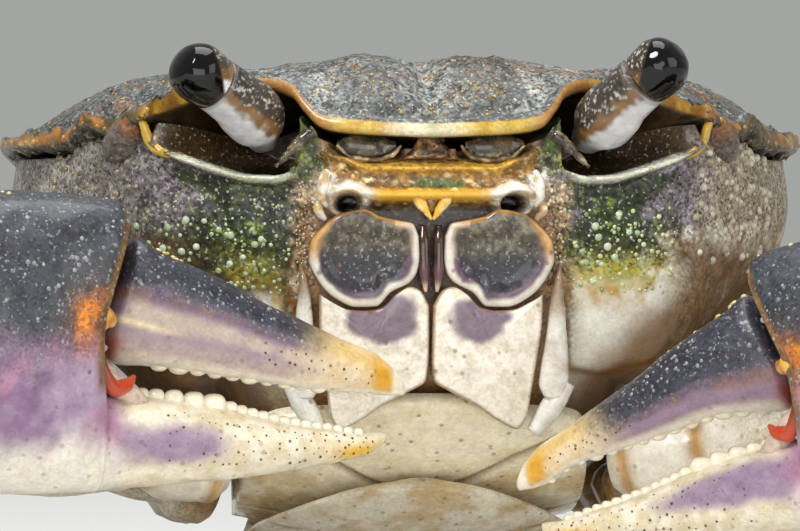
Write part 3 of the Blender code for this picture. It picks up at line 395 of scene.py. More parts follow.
def cloud(co, size, seed=0, octaves=2):
    """Smooth random values from 0 to 1 at points, changing over about a size in millimetres."""
    total, full, weight = 0, 0, 1
    for octave in range(octaves):
        p = co / size * 2**octave + 31.7 * (seed + 1) + 7.3 * octave
        cell = np.floor(p).astype(np.int64)
        f = p - cell
        f = f * f * (3 - 2 * f)
        value = np.zeros(len(co))
        for corner in range(8):
            step = np.array([corner & 1, (corner >> 1) & 1, corner >> 2])
            c = cell + step
            h = c[:, 0] * 73856093 ^ c[:, 1] * 19349663 ^ c[:, 2] * 83492791 ^ (seed * 2654435) & 0x7FFFFFFF
            h = (h ^ (h >> 13)) * 1274126177 & 0x7FFFFFFF
            h = (h ^ (h >> 16)) & 0xFFFF
            value += np.prod(np.where(step == 1, f, 1 - f), axis=1) * h / 65535
        total = total + value * weight
        full += weight
        weight *= 0.55
    return total / full


def dents(size, seed, depth):
    """A relief function of soft dents and swellings."""
    return lambda co, *_: (cloud(co, size, seed) - 0.5) * depth


def rgb(colour):
    """A linear colour from a screen colour in hexadecimal, or from a colour that is linear already."""
    if isinstance(colour, str):
        return np.array([(int(colour[i:i + 2], 16) / 255) ** 2.2 for i in (0, 2, 4)])
    return np.asarray(colour, float)


def mix(a, b, share):
    """Rows of colour from a to b."""
    share = np.clip(np.asarray(share, float), 0, 1)[..., None]
    return rgb(a) * (1 - share) + rgb(b) * share


def layers(colour, *coats):
    """A colour with coats of (colour, share) laid over it in turn."""
    for over, share in coats:
        colour = mix(colour, over, share)
    return colour


def coat(colour, grain):
    """Rows of colour with their grain, which the finishes read as alpha."""
    colour = np.atleast_2d(rgb(colour))
    return np.column_stack([colour, np.broadcast_to(grain, len(colour))])


def mottled(a, b, size, seed, low, high, grain=0.0):
    """A paint function of two colours in soft patches."""
    return lambda co, *_: coat(mix(a, b, smooth(low, high, cloud(co, size, seed))), grain)


def near(x, z, line, width):
    """1 on a line of (x, z) points and 0 beyond a width from it, with a smooth fall between."""
    best = np.full(np.shape(x), 1e9)
    for (ax, az), (bx, bz) in zip(line[:-1], line[1:]):
        dx, dz = bx - ax, bz - az
        t = np.clip(((x - ax) * dx + (z - az) * dz) / (dx * dx + dz * dz), 0, 1)
        best = np.minimum(best, np.hypot(x - ax - t * dx, z - az - t * dz))
    return smooth(width, 0, best)


class Socket:
    """A shader socket that adds Math nodes when it is used in an expression."""

    def __init__(self, finish, link):
        self.finish = finish
        self.link = link

    def _math(self, operation, *values):
        return self.finish.node("ShaderNodeMath", {"operation": operation}, *values)

    def __add__(self, other):
        return self._math("ADD", self, other)

    __radd__ = __add__

    def __sub__(self, other):
        return self._math("SUBTRACT", self, other)

    def __rsub__(self, other):
        return self._math("SUBTRACT", other, self)

    def __mul__(self, other):
        return self._math("MULTIPLY", self, other)

    __rmul__ = __mul__

    def clamp(self, low, high, to_low=0, to_high=1):
        """This value carried from one range to another and held inside it."""
        ends = {"From Min": low, "From Max": high, "To Min": to_low, "To Max": to_high}
        return self.finish.node("ShaderNodeMapRange", {"interpolation_type": "SMOOTHSTEP"}, Value=self, **ends)


class Finish:
    """A material under construction, with short calls for its nodes."""

    def __init__(self, name, **shader):
        self.material = bpy.data.materials.new(name)
        self.material.use_nodes = True
        self.tree = self.material.node_tree
        self.shader = self.tree.nodes["Principled BSDF"]
        for key, value in shader.items():
            self.shader.inputs[key.replace("_", " ")].default_value = value

    def feed(self, target, value):
        """Puts a number, colour or link on a socket."""
        if isinstance(value, Socket):
            self.tree.links.new(value.link, target)
        else:
            target.default_value = value

    def node(self, kind, settings=None, *values, out=0, **named):
        """Adds a node with its settings, then its inputs by position or by name."""
        made = self.tree.nodes.new(kind)
        for key, value in (settings or {}).items():
            setattr(made, key, value)
        for key, value in [*enumerate(values), *named.items()]:
            self.feed(made.inputs[key], value)
        return Socket(self, made.outputs[out])

    def blend(self, mode, factor, a, b):
        """Two colours mixed by a Mix node."""
        made = self.node("ShaderNodeMix", {"data_type": "RGBA", "blend_type": mode}, factor, out=2)
        for place, colour in ((6, a), (7, b)):
            self.feed(made.link.node.inputs[place], colour)
        return made

    def start(self):
        """The object's own coordinates and the colour painted on its points."""
        place = self.node("ShaderNodeTexCoord", out=3)
        return place, self.node("ShaderNodeAttribute", {"attribute_name": "tint"})

    def shaded(self, tint, light):
        """A colour made lighter or darker by a value."""
        return self.blend("MULTIPLY", 1, tint, self.node("ShaderNodeCombineColor", None, light, light, light))

    def drive(self, **values):
        """Feeds the shader's own sockets."""
        for key, value in values.items():
            self.feed(self.shader.inputs[key.replace("_", " ")], value)

    def bump(self, strength, distance, height):
        """Feeds the shader's normal from a height."""
        self.drive(Normal=self.node("ShaderNodeBump", None, Strength=strength, Distance=distance, Height=height))


def shell_finish(name, rough=0.32, speck=0.25, pits=0.0, bump=0.4, coat=0.25):
    """The wet shell: painted tint, salt-and-pepper grain, fine pits, and gloss that varies."""
    f = Finish(name, Coat_Weight=coat, Coat_Roughness=0.06, Specular_IOR_Level=0.5)
    place, tint = f.start()
    grain = Socket(f, tint.link.node.outputs["Alpha"])
    fine = f.node("ShaderNodeTexVoronoi", None, out=1, Vector=place, Scale=6500)
    value = f.node("ShaderNodeSeparateColor", None, fine)
    coarse = f.node("ShaderNodeTexNoise", None, Vector=place, Scale=1400, Detail=3)
    colour = f.shaded(tint, 1 + (value - 0.5) * (grain * 1.5 + speck) + (coarse - 0.5) * 0.35)
    flecks = f.node("ShaderNodeTexNoise", None, Vector=place, Scale=5200, Detail=1)
    colour = f.blend("MIX", flecks.clamp(0.62, 0.72) * grain * 0.55, colour, (0.62, 0.62, 0.56, 1))
    if pits:
        holes = f.node("ShaderNodeTexVoronoi", None, Vector=place, Scale=1150)
        colour = f.blend("MIX", (1 - holes.clamp(0.1, 0.2)) * pits, colour, (0.12, 0.05, 0.02, 1))
    f.drive(Base_Color=colour, Roughness=rough + (coarse - 0.5) * 0.3 + grain * 0.18)
    f.bump(bump, 0.00012, coarse * 0.6 + value * grain * 0.8 + flecks * 0.2)
    return f.material


def eye_finish(name):
    """The glossy black eye, with faint brown and violet in its depth."""
    f = Finish(name, Roughness=0.08, Coat_Weight=0.15, Coat_Roughness=0.02, Specular_IOR_Level=0.35)
    place, tint = f.start()
    facets = f.node("ShaderNodeTexVoronoi", None, Vector=place, Scale=9000)
    f.drive(Base_Color=f.shaded(tint, facets.clamp(0, 0.6, 0.7, 1.2)))
    return f.material


def soft_finish(name):
    """The damp skin between the shell's plates."""
    f = Finish(name, Coat_Weight=0.3, Coat_Roughness=0.1)
    place, tint = f.start()
    folds = f.node("ShaderNodeTexNoise", None, Vector=place, Scale=1800, Detail=3, Distortion=1)
    f.drive(Base_Color=f.shaded(tint, folds.clamp(0.3, 0.7, 0.75, 1.15)), Roughness=0.3 + folds * 0.2)
    f.bump(0.5, 0.0002, folds)
    return f.material


RECIPES = {
    "shell": (shell_finish, {"speck": 0.35, "bump": 0.6}),
    "face": (shell_finish, {"speck": 0.12, "bump": 0.5}),
    "plate": (shell_finish, {"rough": 0.25, "speck": 0.12, "pits": 0.55, "bump": 0.2, "coat": 0.4}),
    "claw": (shell_finish, {"rough": 0.34, "speck": 0.16, "pits": 0.35, "bump": 0.4, "coat": 0.22}),
    "bead": (shell_finish, {"rough": 0.2, "speck": 0.1, "bump": 0.1, "coat": 0.5}),
    "leg": (shell_finish, {"rough": 0.3, "speck": 0.25, "pits": 0.3, "bump": 0.35}),
    "eye": (eye_finish, {}),
    "joint_skin": (soft_finish, {}),
}


FINISHES = {}


def finish(name):
    """The shared material with that name, made the first time it is asked for."""
    if name not in FINISHES:
        make, settings = RECIPES[name]
        FINISHES[name] = make(name, **settings)
    return FINISHES[name]


def points_of(mesh):
    """The vertices of a mesh as rows."""
    co = np.empty(len(mesh.vertices) * 3, np.float32)
    mesh.vertices.foreach_get("co", co)
    return co.reshape(-1, 3)


def mesh_of(name, shape):
    """A new mesh from a bmesh, which is freed."""
    mesh = bpy.data.meshes.new(name)
    shape.to_mesh(mesh)
    shape.free()
    return mesh


def place_object(name, data):
    """A new object of the scene."""
    obj = bpy.data.objects.new(name, data)
    bpy.context.scene.collection.objects.link(obj)
    return obj


def write_mesh(name, mesh, co, colours, skin):
    """Puts points and colours on a mesh in the body's millimetres and makes its object."""
    mesh.vertices.foreach_set("co", (co * MM + HOME).astype(np.float32).ravel())
    mesh.update()
    mesh.calc_loop_triangles()
    corners = np.empty(len(mesh.loop_triangles) * 3, np.int32)
    mesh.loop_triangles.foreach_get("vertices", corners)
    a, b, c = (co[corners[i::3]] for i in range(3))
    if np.einsum("ij,ij->i", a, np.cross(b, c)).sum() < 0:
        mesh.flip_normals()
    layer = mesh.attributes.new("tint", "FLOAT_COLOR", "POINT")
    layer.data.foreach_set("color", np.asarray(colours).astype(np.float32).ravel())
    mesh.shade_smooth()
    mesh.materials.append(finish(skin))
    return place_object(name, mesh)


def ball(name, sides, rings, place, skin):
    """A closed ball of rings, put in place and painted by a function of ring number and angle."""
    shape = bmesh.new()
    bmesh.ops.create_grid(shape, x_segments=sides, y_segments=rings, size=1)
    shape.verts.ensure_lookup_table()
    at = np.array([v.co[:2] for v in shape.verts])
    column, row = (np.rint((at[:, i] + 1) / 2 * count).astype(int) for i, count in ((0, sides), (1, rings)))
    where = {(c, r): i for i, (c, r) in enumerate(zip(column, row))}
    seam = {(c, r): (0, r) for c, r in where if r in (0, rings) or c == sides}
    pairs = {shape.verts[where[k]]: shape.verts[where[v]] for k, v in seam.items() if k != v}
    for vert, c, r in zip(shape.verts, column, row):
        vert.co = (c, r, 0)
    bmesh.ops.weld_verts(shape, targetmap=pairs)
    mesh = mesh_of(name, shape)
    column, row = np.rint(points_of(mesh)[:, :2]).astype(int).T
    spots, colours = place(row, column / sides * 2 * math.pi - math.pi)
    return write_mesh(name, mesh, spots, colours, skin)


def beads(name, grains, level=2, boxy=1, shape=1):
    """Many small rounded beads as one mesh, from rows of (place, radius, colour, grain).

    A boxy power under 1 squares them, and the shape stretches them along the three axes.
    """
    spots, radii, tones, grain = zip(*grains)
    one = bmesh.new()
    bmesh.ops.create_icosphere(one, subdivisions=level, radius=1)
    seed = mesh_of("bead", one)
    every = bmesh.new()
    for _ in grains:
        every.from_mesh(seed)
    mesh = mesh_of(name, every)
    ball_points = points_of(seed).astype(float)
    bpy.data.meshes.remove(seed)
    ball_points = np.sign(ball_points) * np.abs(ball_points) ** boxy
    co = (np.array(spots)[:, None] + ball_points * (np.array(radii)[:, None, None] * shape)).reshape(-1, 3)
    colours = np.column_stack([[*map(rgb, tones)], grain])
    return write_mesh(name, mesh, co, np.repeat(colours, len(ball_points), axis=0), "bead")


def join(name, objects):
    """One object from several, with their colours kept."""
    first = objects[0]
    with bpy.context.temp_override(
        active_object=first, object=first, selected_objects=objects, selected_editable_objects=objects
    ):
        bpy.ops.object.join()
    first.name = first.data.name = name
    return first


def oval(ring, angle, count, power):
    """For rings 1 to count with closed ends: each point's row, its growth, and its place across and upright."""
    i = np.clip(ring - 1, 0, count - 1)
    power = np.broadcast_to(power, count)[i]
    c, s = (np.sign(v) * np.abs(v) ** power for v in (np.cos(angle), np.sin(angle)))
    return i, np.where((ring == 0) | (ring == count + 1), 0, 1), c, s


def tube(name, points, sizes, sides, paint, skin="bead", side=1, roundness=1, up=(0, 0, 1), smoothing=10, relief=None):
    """A closed tube along a smooth line through points, each with a half size or (across, upright) half sizes.

    The paint function takes the points, the share of the way and the angle, and returns colours.
    The relief function takes the same and returns how far the skin stands out. The side mirrors the points.
    """
    points = np.array(points) * (side, 1, 1)
    sizes = np.array([(size, size) if np.ndim(size) == 0 else size for size in sizes])
    at = np.append(0, np.cumsum(length(np.diff(points, axis=0))))
    stops = len(at) - 1
    dense = np.unique(np.interp(np.linspace(0, stops, stops * smoothing + 1), range(len(at)), at))
    line, half = (spline(np.column_stack([at, rows]))(dense) for rows in (points, sizes))
    ways = unit(np.gradient(line, axis=0))
    across = unit(np.cross(ways, np.array(up, float)))
    rise = np.cross(across, ways)

    def place(ring, angle):
        i, grow, c, s = oval(ring, angle, len(dense), roundness)
        spots = line[i] + across[i] * (c * half[i, 0] * grow)[:, None] + rise[i] * (s * half[i, 1] * grow)[:, None]
        share = dense[i] / dense[-1]
        if relief is not None:
            spots = spots + unit(spots - line[i]) * (relief(spots, share, angle) * grow)[:, None]
        return spots, paint(spots, share, angle)

    return ball(name, sides, len(dense) + 1, place, skin)


def dress(piece, slot, *nodes):
    """Attaches a finished piece under the root body and hides the solids it stands for; the slot is not used."""
    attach(piece, "root")
    if nodes:
        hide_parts(*nodes)


def flat(colour):
    """A paint function of one colour."""
    return lambda co, *_: coat(np.tile(rgb(colour), (len(co), 1)), 0)


# The colours, as seen on a wet crab in soft daylight
SLATE, STONE, BLUE_GREY = "3c3e44", "807a76", "626868"
WHITE, CREAM, IVORY = "e8e4da", "ded4be", "eee4cc"
TAN, OCHRE, AMBER, BROWN, DARK = "aa8a64", "b68e46", "885822", "4e341e", "1a1410"
MOSS, LIME, OLIVE = "344214", "869232", "544e32"
MAUVE, PURPLE = "8e788c", "543e54"
AHEAD = (0, 1, 0)  # the up of tubes on the face, whose upright half sizes then run in and out of it


# The creases of the back, as (distance from the midline, y)
SIDE_CREASE = ((1.2, 17.5), (4.6, 15.6), (5.2, 12.6), (8, 10.6), (12.5, 7.5))
REAR_CREASE = ((4.6, 15.6), (5, 20), (4.2, 24))
FRONT_DENSE = spline(((0, 0), (0.74, 0.52), (1, 1)))


def frontward(angle):
    """Evenly spaced angles moved so that most of them fall on the front of the crab."""
    return np.sign(angle) * FRONT_DENSE(np.abs(angle) / math.pi) * math.pi


def from_rim(x, y, share):
    """How many millimetres a point of the shell lies inside its rim."""
    return np.hypot(x, y - SHELL_MIDDLE[1]) * (1 / np.maximum(share, 0.05) - 1)


def paint_shell(co, share, upper):
    """The back: dark and pale grains, mossy in its hollows, with a yellow rolled rim and an inner face painted near
    black as shade, turning to a darker mottle at the sides.
    """
    x, y, _ = co.T
    far = np.abs(x)
    big, small, tiny = cloud(co, 2.6, 1, 3), cloud(co, 0.7, 2, 3), cloud(co, 0.28, 6)
    groove = lump(x, y, (0, 6), (1, 5.5)) + 0.8 * lump(far, y, (8, 9), (1.4, 5))
    groove = np.clip(groove + 0.7 * lump(far, y, (5.6, 2.6), (0.8, 2.2)), 0, 1)
    bend = near(far, y, SIDE_CREASE, 0.5) + near(far, y, REAR_CREASE, 0.45)
    rust = smooth(0.5, 0.6, cloud(co, 4, 12, 3)) * smooth(0.5, 0.62, small) * smooth(2, 6, y)
    colour = layers(
        mix("383836", BLUE_GREY, smooth(0.3, 0.7, big * 0.4 + tiny * 0.6)),
        (mix("302a22", OLIVE, tiny), 0.55 * lump(far, y, (3.1, 3.4), (2.2, 2.4))),
        ("babab0", 0.8 * groove * smooth(0.35, 0.6, small * 0.5 + tiny * 0.5)),
        (mix("5c5236", "3a3222", tiny), 0.75 * smooth(0.45, 0.62, cloud(co, 6, 10, 3)) * smooth(3, 8, y)),
        ("865c34", 0.6 * rust),
        ("221e18", 0.7 * np.clip(bend, 0, 1)),
        (mix(MOSS, "1e2214", small), 0.7 * smooth(0.5, 0.7, cloud(co, 3, 7)) * smooth(9, 13, far)),
    )
    side = smooth(11.5, 13.5, far)
    reach = from_rim(x, y, share)
    wide = 0.18 - 0.08 * band(far, 7.6, 8.6, 14.2, 15.2) + (small - 0.5) * (0.06 + 0.3 * side)
    edge = smooth(wide + 0.05, wide - 0.05, reach) * (1 - 0.8 * smooth(10, 26, y))
    middle = smooth(3, 0.8, np.abs(x + 0.4))
    lip = layers(
        mix("be9432", "d2b65e", smooth(0.35, 0.7, small)),
        ("a67642", smooth(4.4, 6.4, far) * smooth(0.3, 0.5, small + 0.15)),
        ("e4dec6", 0.8 * middle * smooth(0, 0.3, 0.42 - reach)),
        (LIME, 0.7 * middle * lump(x, y, (0.1, 0.3), (0.5, 0.35))),
        (mix("d6a42c", OCHRE, small), smooth(8, 10, far)),
        (mix("965c24", "544228", big), 0.85 * side * smooth(0.3, 0.6, small)),
        (mix("403c2a", "ac7030", smooth(0.5, 0.66, small)), 0.9 * band(far, 14.9, 15.8, 19.5, 21)),
        (mix("c0aa76", "8c6030", smooth(0.35, 0.6, small)), 0.8 * smooth(20, 21.5, far)),
    )
    colour = mix(colour, lip, edge)
    below = np.where(upper, 0, 1)
    skirt = mix(mix("1e1a16", "685c4e", smooth(0.45, 0.65, tiny)), OLIVE, 0.5 * big)
    # painted shade: the shell's inner face under the rim is near black, blending into the darker mottled skirt at the
    # sides
    hidden = mix(mix(DARK, "3e3018", small), skirt, smooth(14.5, 16, far))
    colour = mix(colour, mix(hidden, lip, smooth(0.34, 0.16, reach) * (far < 15.5)), below)
    return coat(colour, np.clip((1 - edge) * (1 - below) + below * smooth(14.5, 15.5, far), 0, 1))


def fine_shell_point(share, angle, upper):
    """The shell's point with its small relief: the flange of the lip, lobes, pimples and pits."""
    co = shell_point(share, angle, upper)
    x, y, _ = co.T
    far = np.abs(x)
    reach = from_rim(x, y, share)
    inner = smooth(0.25, 0.7, reach)
    rise = (0.12 * bell(reach - 0.38, 0.22) - 0.3 * bell(reach - 1, 0.4)) * smooth(14, 7, y)
    lobes = 0.3 * lump(far, y, (3, 3), (1.8, 1.6)) - 0.25 * smooth(4, 9, y) - 0.35 * lump(x, y, (0, 3.2), (0.5, 2.6))
    rough = (cloud(co, 0.3, 4) - 0.5) * 0.2 + (cloud(co, 1.1, 5) - 0.5) * 0.34
    rise += (lobes + rough) * inner - 0.25 * near(far, y, SIDE_CREASE, 0.7) - 0.2 * near(far, y, REAR_CREASE, 0.7)
    knobs = np.maximum(cloud(co, 0.7, 8, 1) - 0.45, 0) * 0.9 * smooth(10, 13, far) * (y < 24) * (reach < 1.4)
    grains = np.maximum(cloud(co, 0.55, 9) - 0.38, 0) * smooth(14.5, 16, far) * smooth(0.2, 0.8, reach)
    co[:, 2] += np.where(upper, rise + knobs, -grains)
    return co


def fine_top(x, y):
    """The shell's surface point above a plan position, or None outside its rim."""
    way = math.atan2(x, SHELL_MIDDLE[1] - y)
    places = np.linspace(0, 1, 400)
    rim = RIM(places)
    station = np.interp(abs(way), np.arctan2(rim[:, 0], SHELL_MIDDLE[1] - rim[:, 1]), places)
    edge = RIM(np.array([station]))[0, :2] - SHELL_MIDDLE
    share = math.hypot(x, y - SHELL_MIDDLE[1]) / math.hypot(*edge)
    if share > 0.97:
        return None
    return fine_shell_point(np.array([share]), np.array([math.copysign(station * math.pi, way)]), np.array([True]))[0]


class CRAB_OT_shell(bpy.types.Operator):
    """The broad shield over the back, its rolled rim and the beads along it"""

    bl_idname = "crab.shell"
    bl_label = "Shell"

    def execute(self, context):
        top = run((0, 0.6, 26), (0.6, 0.955, 46), (0.955, 1, 15))
        share = np.concatenate([top, np.linspace(0.995, 0.9, 9), np.linspace(0.85, 0, 14)])
        upper = np.arange(len(share)) < len(top)

        def place(ring, angle):
            co = fine_shell_point(share[ring], frontward(angle), upper[ring])
            return co, paint_shell(co, share[ring], upper[ring])

        columns = context.scene.crab_look.fineness * 8
        dress(ball("shell", columns, len(share) - 1, place, "shell"), "shell", "carapace")
        rng = np.random.default_rng(4)
        grains = []
        for side, _ in SIDES:
            station = STATIONS[10]
            while station < STATIONS[21]:
                spot = both_sides(np.array([side * station * math.pi]), RIM)[0]
                inward = unit(np.array([-spot[0], SHELL_MIDDLE[1] - spot[1], 0]))
                r = rng.uniform(0.08, 0.17)
                spot = spot + (0, 0, 0.08) + inward * rng.uniform(0.05, 0.3)
                tone = mix(AMBER, "c89646", rng.random())
                grains.append((spot, r, mix(tone, OLIVE, 0.6 * rng.random()), 0.2))
                station += rng.uniform(0.3, 1.7) * r / 0.2 * 0.007
        loose = rng.uniform((-6.2, 0.7), (6.2, 4.8), (46, 2))
        row = [(x + 0.1 * k, 1.7 + 0.35 * k + 0.3 * rng.random()) for k in range(3)
               for x in (-3.5, -3.1, -2.6, -2.2, 0.9, 1.3, 1.7, 2.1, 2.5, 3, 3.5, 4)]
        outer = rng.uniform((8.5, 4.5), (17, 9.5), (70, 2)) * np.where(rng.random((70, 1)) < 0.5, (-1, 1), (1, 1))
        for x, y in (*row, *loose, *outer):
            spot = fine_top(x, y)
            if spot is not None:
                grains.append((spot, rng.uniform(0.06, 0.13), mix("785c2e", "b08e4e", rng.random()), 0.5))
        dress(beads("shell_beads", grains), "shell")
        return {"FINISHED"}


WALL_PLAN = both_sides(np.linspace(0, 0.45, 300) * math.pi, WALL)


def front_y(far):
    """Y of the wall's outer curve at a distance from the midline."""
    return np.interp(far, np.maximum.accumulate(np.abs(WALL_PLAN[:, 0])), WALL_PLAN[:, 1])


def brow_height(far):
    """Z of the brow ridge over the mouth frame."""
    return -5.5 + 0.7 * smooth(3.4, 5.1, far)


def lip_height(far):
    """Z of the lip under the mouth frame."""
    return -6.98 + 0.45 * bell(far - 4.35, 0.8)


def frame_relief(far, z):
    """How far the mouth frame stands out of the wall: the brow ridge, the shelf under it and the lip."""
    brow, lip = brow_height(far), lip_height(far)
    shelf = 0.42 * smooth(lip - 0.5, lip - 0.1, z) * smooth(brow + 0.15, brow - 0.25, z)
    return smooth(5.9, 5.1, far) * (bell(z - brow, 0.24) + shelf + 0.6 * bell(z - lip, 0.3)) * (far < 6.2)


def opening_shape(far, z):
    """0 in the middle of either breathing opening, 1 at its edge, more outside."""
    return np.hypot((far - 4.4) / 0.72, (z + 7.42) / 0.52)


def roughen_face(co, walled):
    """Small relief on the wall: soft dents, the beaded edge of each socket, the mouth's ridges and openings."""
    x, y, z = co.T
    far = np.abs(x)
    rough = (cloud(co, 0.3, 11) - 0.5) * 0.16 + (cloud(co, 1.3, 12) - 0.5) * 0.5
    smooth_plate = band(far, 7.4, 8, 13, 15) * smooth(10.8, 12, -z) * (x > 0)
    above, behind = z - SOCKET_EDGE(far), y - front_y(far)
    socket = band(far, 6.9, 8, 14.4, 15.3)
    rise = rough * smooth(6.2, 7.2, far) * (1 - 0.85 * smooth_plate) * (1 - socket * smooth(-0.1, 0.3, above))
    beaded = 0.6 + 0.4 * np.sin(far * 14 + 2 * cloud(co, 0.8, 13, 1)) ** 2
    rise += socket * (behind < 0.6) * 0.45 * beaded * bell(above + 0.1, 0.2) + frame_relief(far, z)
    hole = opening_shape(far, z)
    rise += 0.5 * bell(hole - 1.3, 0.28) * (z > -8.1) * (z < -6.6) - 1.3 * smooth(1, 0.75, hole)
    rise += (cloud(co, 0.22, 14) - 0.5) * 0.1 * smooth(7, 6, far) * smooth(-8, -7.4, z)
    front = walled & (y < 9)
    outward = unit(np.column_stack([0.4 * x, y - BODY_MIDDLE[1], 0 * x]))
    co = co + outward * np.where(front, rise, 0)[:, None]
    co[:, 2] -= np.where(front, 0.55 * socket * smooth(0.35, 1.2, behind) * smooth(-0.2, 0.2, above) * (above < 2), 0)
    return co


def paint_cheeks(co, a, b, c):
    """The cheeks' colours: grainy grey and violet, the pale plates, algae by the sockets, lime and ochre, with painted
    brown shade on the outer lower cheek and painted dark shade along the foot of the wall.
    """
    x, y, z = co.T
    far = np.abs(x)
    right_cheek, left_cheek = x < 0, x > 0
    grey = mix("2e2824", "86807a", smooth(0.35, 0.75, c * 0.5 + b * 0.5))
    purple = mix("4a3e44", "8c8086", smooth(0.3, 0.7, a * 0.5 + c * 0.5))
    grey = mix(grey, purple, 0.7 * lump(far, z, (13.6, -6.4), (2, 2.2)))
    on_right = layers(
        mix("221e0e", "605224", smooth(0.35, 0.7, a * 0.4 + b * 0.6)),
        (grey, smooth(-9.6, -8.2, z + (a - 0.5) * 1.6)),
        (mix("968e86", "605852", smooth(0.3, 0.7, a * 0.5 + b * 0.5)), smooth(15, 17.5, far + (a - 0.5) * 3)),
    )
    violet = mix("9e969c", "685a60", smooth(0.35, 0.65, a))
    violet = mix(violet, mix("b0a28a", "786854", b), smooth(14, 16, far + (a - 0.5) * 2))
    ground = mix("cec6b2", "8c6838", smooth(0.4, 0.62, a * 0.6 + b * 0.4))
    on_left = mix(ground, violet, smooth(-9.6, -8, z + (a - 0.5) * 1.5))
    plate_edge = 10.4 + 1.4 * right_cheek
    white = band(far, 7.5, 8.1, 12.5, 14.5) * smooth(plate_edge, plate_edge + 1.2, -z + (a - 0.5) * 0.8)
    stain = smooth(0.5, 0.65, b * 0.5 + a * 0.5) * smooth(plate_edge + 3.4, plate_edge + 1.2, -z)
    plate_tone = mix(mix("f2eee2", CREAM, smooth(0.35, 0.75, a)), "c49c4e", 0.7 * stain)
    # painted shade: brown over the outer, lower cheek, deepening outwards and downwards towards the claw
    shade = smooth(12, 15, far + 0.9 * (-z - 11.5) * smooth(10.5, 14, -z)) * smooth(8.8, 10.5, -z)
    groove = near(far, z, ((7.35, -10.6), (7.25, -13), (7.7, -16.2), (9.5, -16.6), (12.5, -15.8)), 0.34)
    green = 1.2 * lump(far, z, (9.8, -9), (3.6, 2.6)) + 0.9 * lump(far, z, (6.9, -5.4), (1.1, 1.5))
    green = green + 0.75 * bell(z - SOCKET_EDGE(far) + 0.9, 0.7) * band(far, 7, 8, 13, 14.5)
    moss = smooth(0.5, 0.9, green * 0.8 + a * 0.35 + (b - 0.5) * 0.6)
    dark_moss = mix("12160a", "2c3412", smooth(0.3, 0.6, b))
    lime = np.clip(lump(far, z, (10, -11), (2.6, 0.9)) * np.where(left_cheek, 1, 0.5), 0, 1)
    ochre = lump(far, z, (11, -12.1), (3.2, 0.8)) * np.where(left_cheek, 1, 0.4)
    colour = layers(
        np.where(right_cheek[:, None], on_right, on_left),
        (plate_tone, 0.97 * white),
        (mix("8c6024", "462e16", b), 0.9 * shade),
        ("7c5220", 0.9 * groove * (y > 1)),
        # painted shade: dark brown along the foot of the wall, in the gap under the pale plates
        (mix("583a1a", DARK, b), 0.8 * smooth(-16.2, -17.2, z + 0.12 * (far - 8)) * smooth(7.6, 8.4, far)),
        (mix(dark_moss, "788828", 0.7 * smooth(0.58, 0.75, c * 0.6 + a * 0.4)), moss),
        (mix("12160a", "48581c", smooth(0.35, 0.7, b)), band(far, 5.5, 6, 7.6, 8.4) * smooth(-6.4, -5.4, z)),
        (mix("cec460", "b0be3c", b), 1.3 * lump(far, z, (7.3, -5.05), (0.45, 0.45))),
        (mix(LIME, "c4b038", b), 0.85 * lime * smooth(0.3, 0.55, a)),
        ("be8e38", 0.75 * ochre * smooth(0.35, 0.65, b * 0.5 + a * 0.5)),
    )
    return colour, white, moss


def paint_sockets(co, colour, a, b):
    """Each eye socket's hollow, painted dark brown to near black as shade, and the pale ridge along its edge."""
    x, y, z = co.T
    far = np.abs(x)
    above, behind = z - SOCKET_EDGE(far), y - front_y(far)
    # where the socket's painted shade falls: above its edge, behind the wall's front and in its outer corner
    floor = band(far, 6.9, 8, 15.3, 15.8) * smooth(0.2, 0.4, above)
    inside = band(far, 6.6, 7, 15.8, 16.2) * np.maximum(floor, smooth(0.2, 0.4, behind) * (above > -0.9))
    ridge_z = np.interp(far, (13.4, 14.2, 14.75, 15.1, 15.4), (-4.95, -4.7, -4.2, -3.3, -2.5))
    corner = smooth(13.2, 13.6, far) * (far < 15.4) * smooth(0, 0.2, z - ridge_z)
    inside = np.maximum(inside, corner)
    pale = smooth(11, 13.5, far) * np.where(x > 0, 1, 0.3)
    ridge = smooth(0.3, 0.14, np.abs(above + 0.08)) * smooth(0.42, 0.2, behind) * (1 - corner)
    ridge = ridge * band(far, 6.9, 8, 14.4, 15.3)
    tone = mix(mix(WHITE, "ced4b0", b), "ceba5a", smooth(0.55, 0.75, cloud(co, 1.1, 24)))
    colour = layers(
        colour,
        # painted shade: the hollow goes dark brown to near black, a paler brown towards its outer end
        (mix(mix(DARK, "402e12", b), mix("5c4622", "382c18", a), pale), inside),
        (mix(tone, "967630", smooth(13.4, 14.3, far)), ridge),
    )
    return colour, inside, ridge


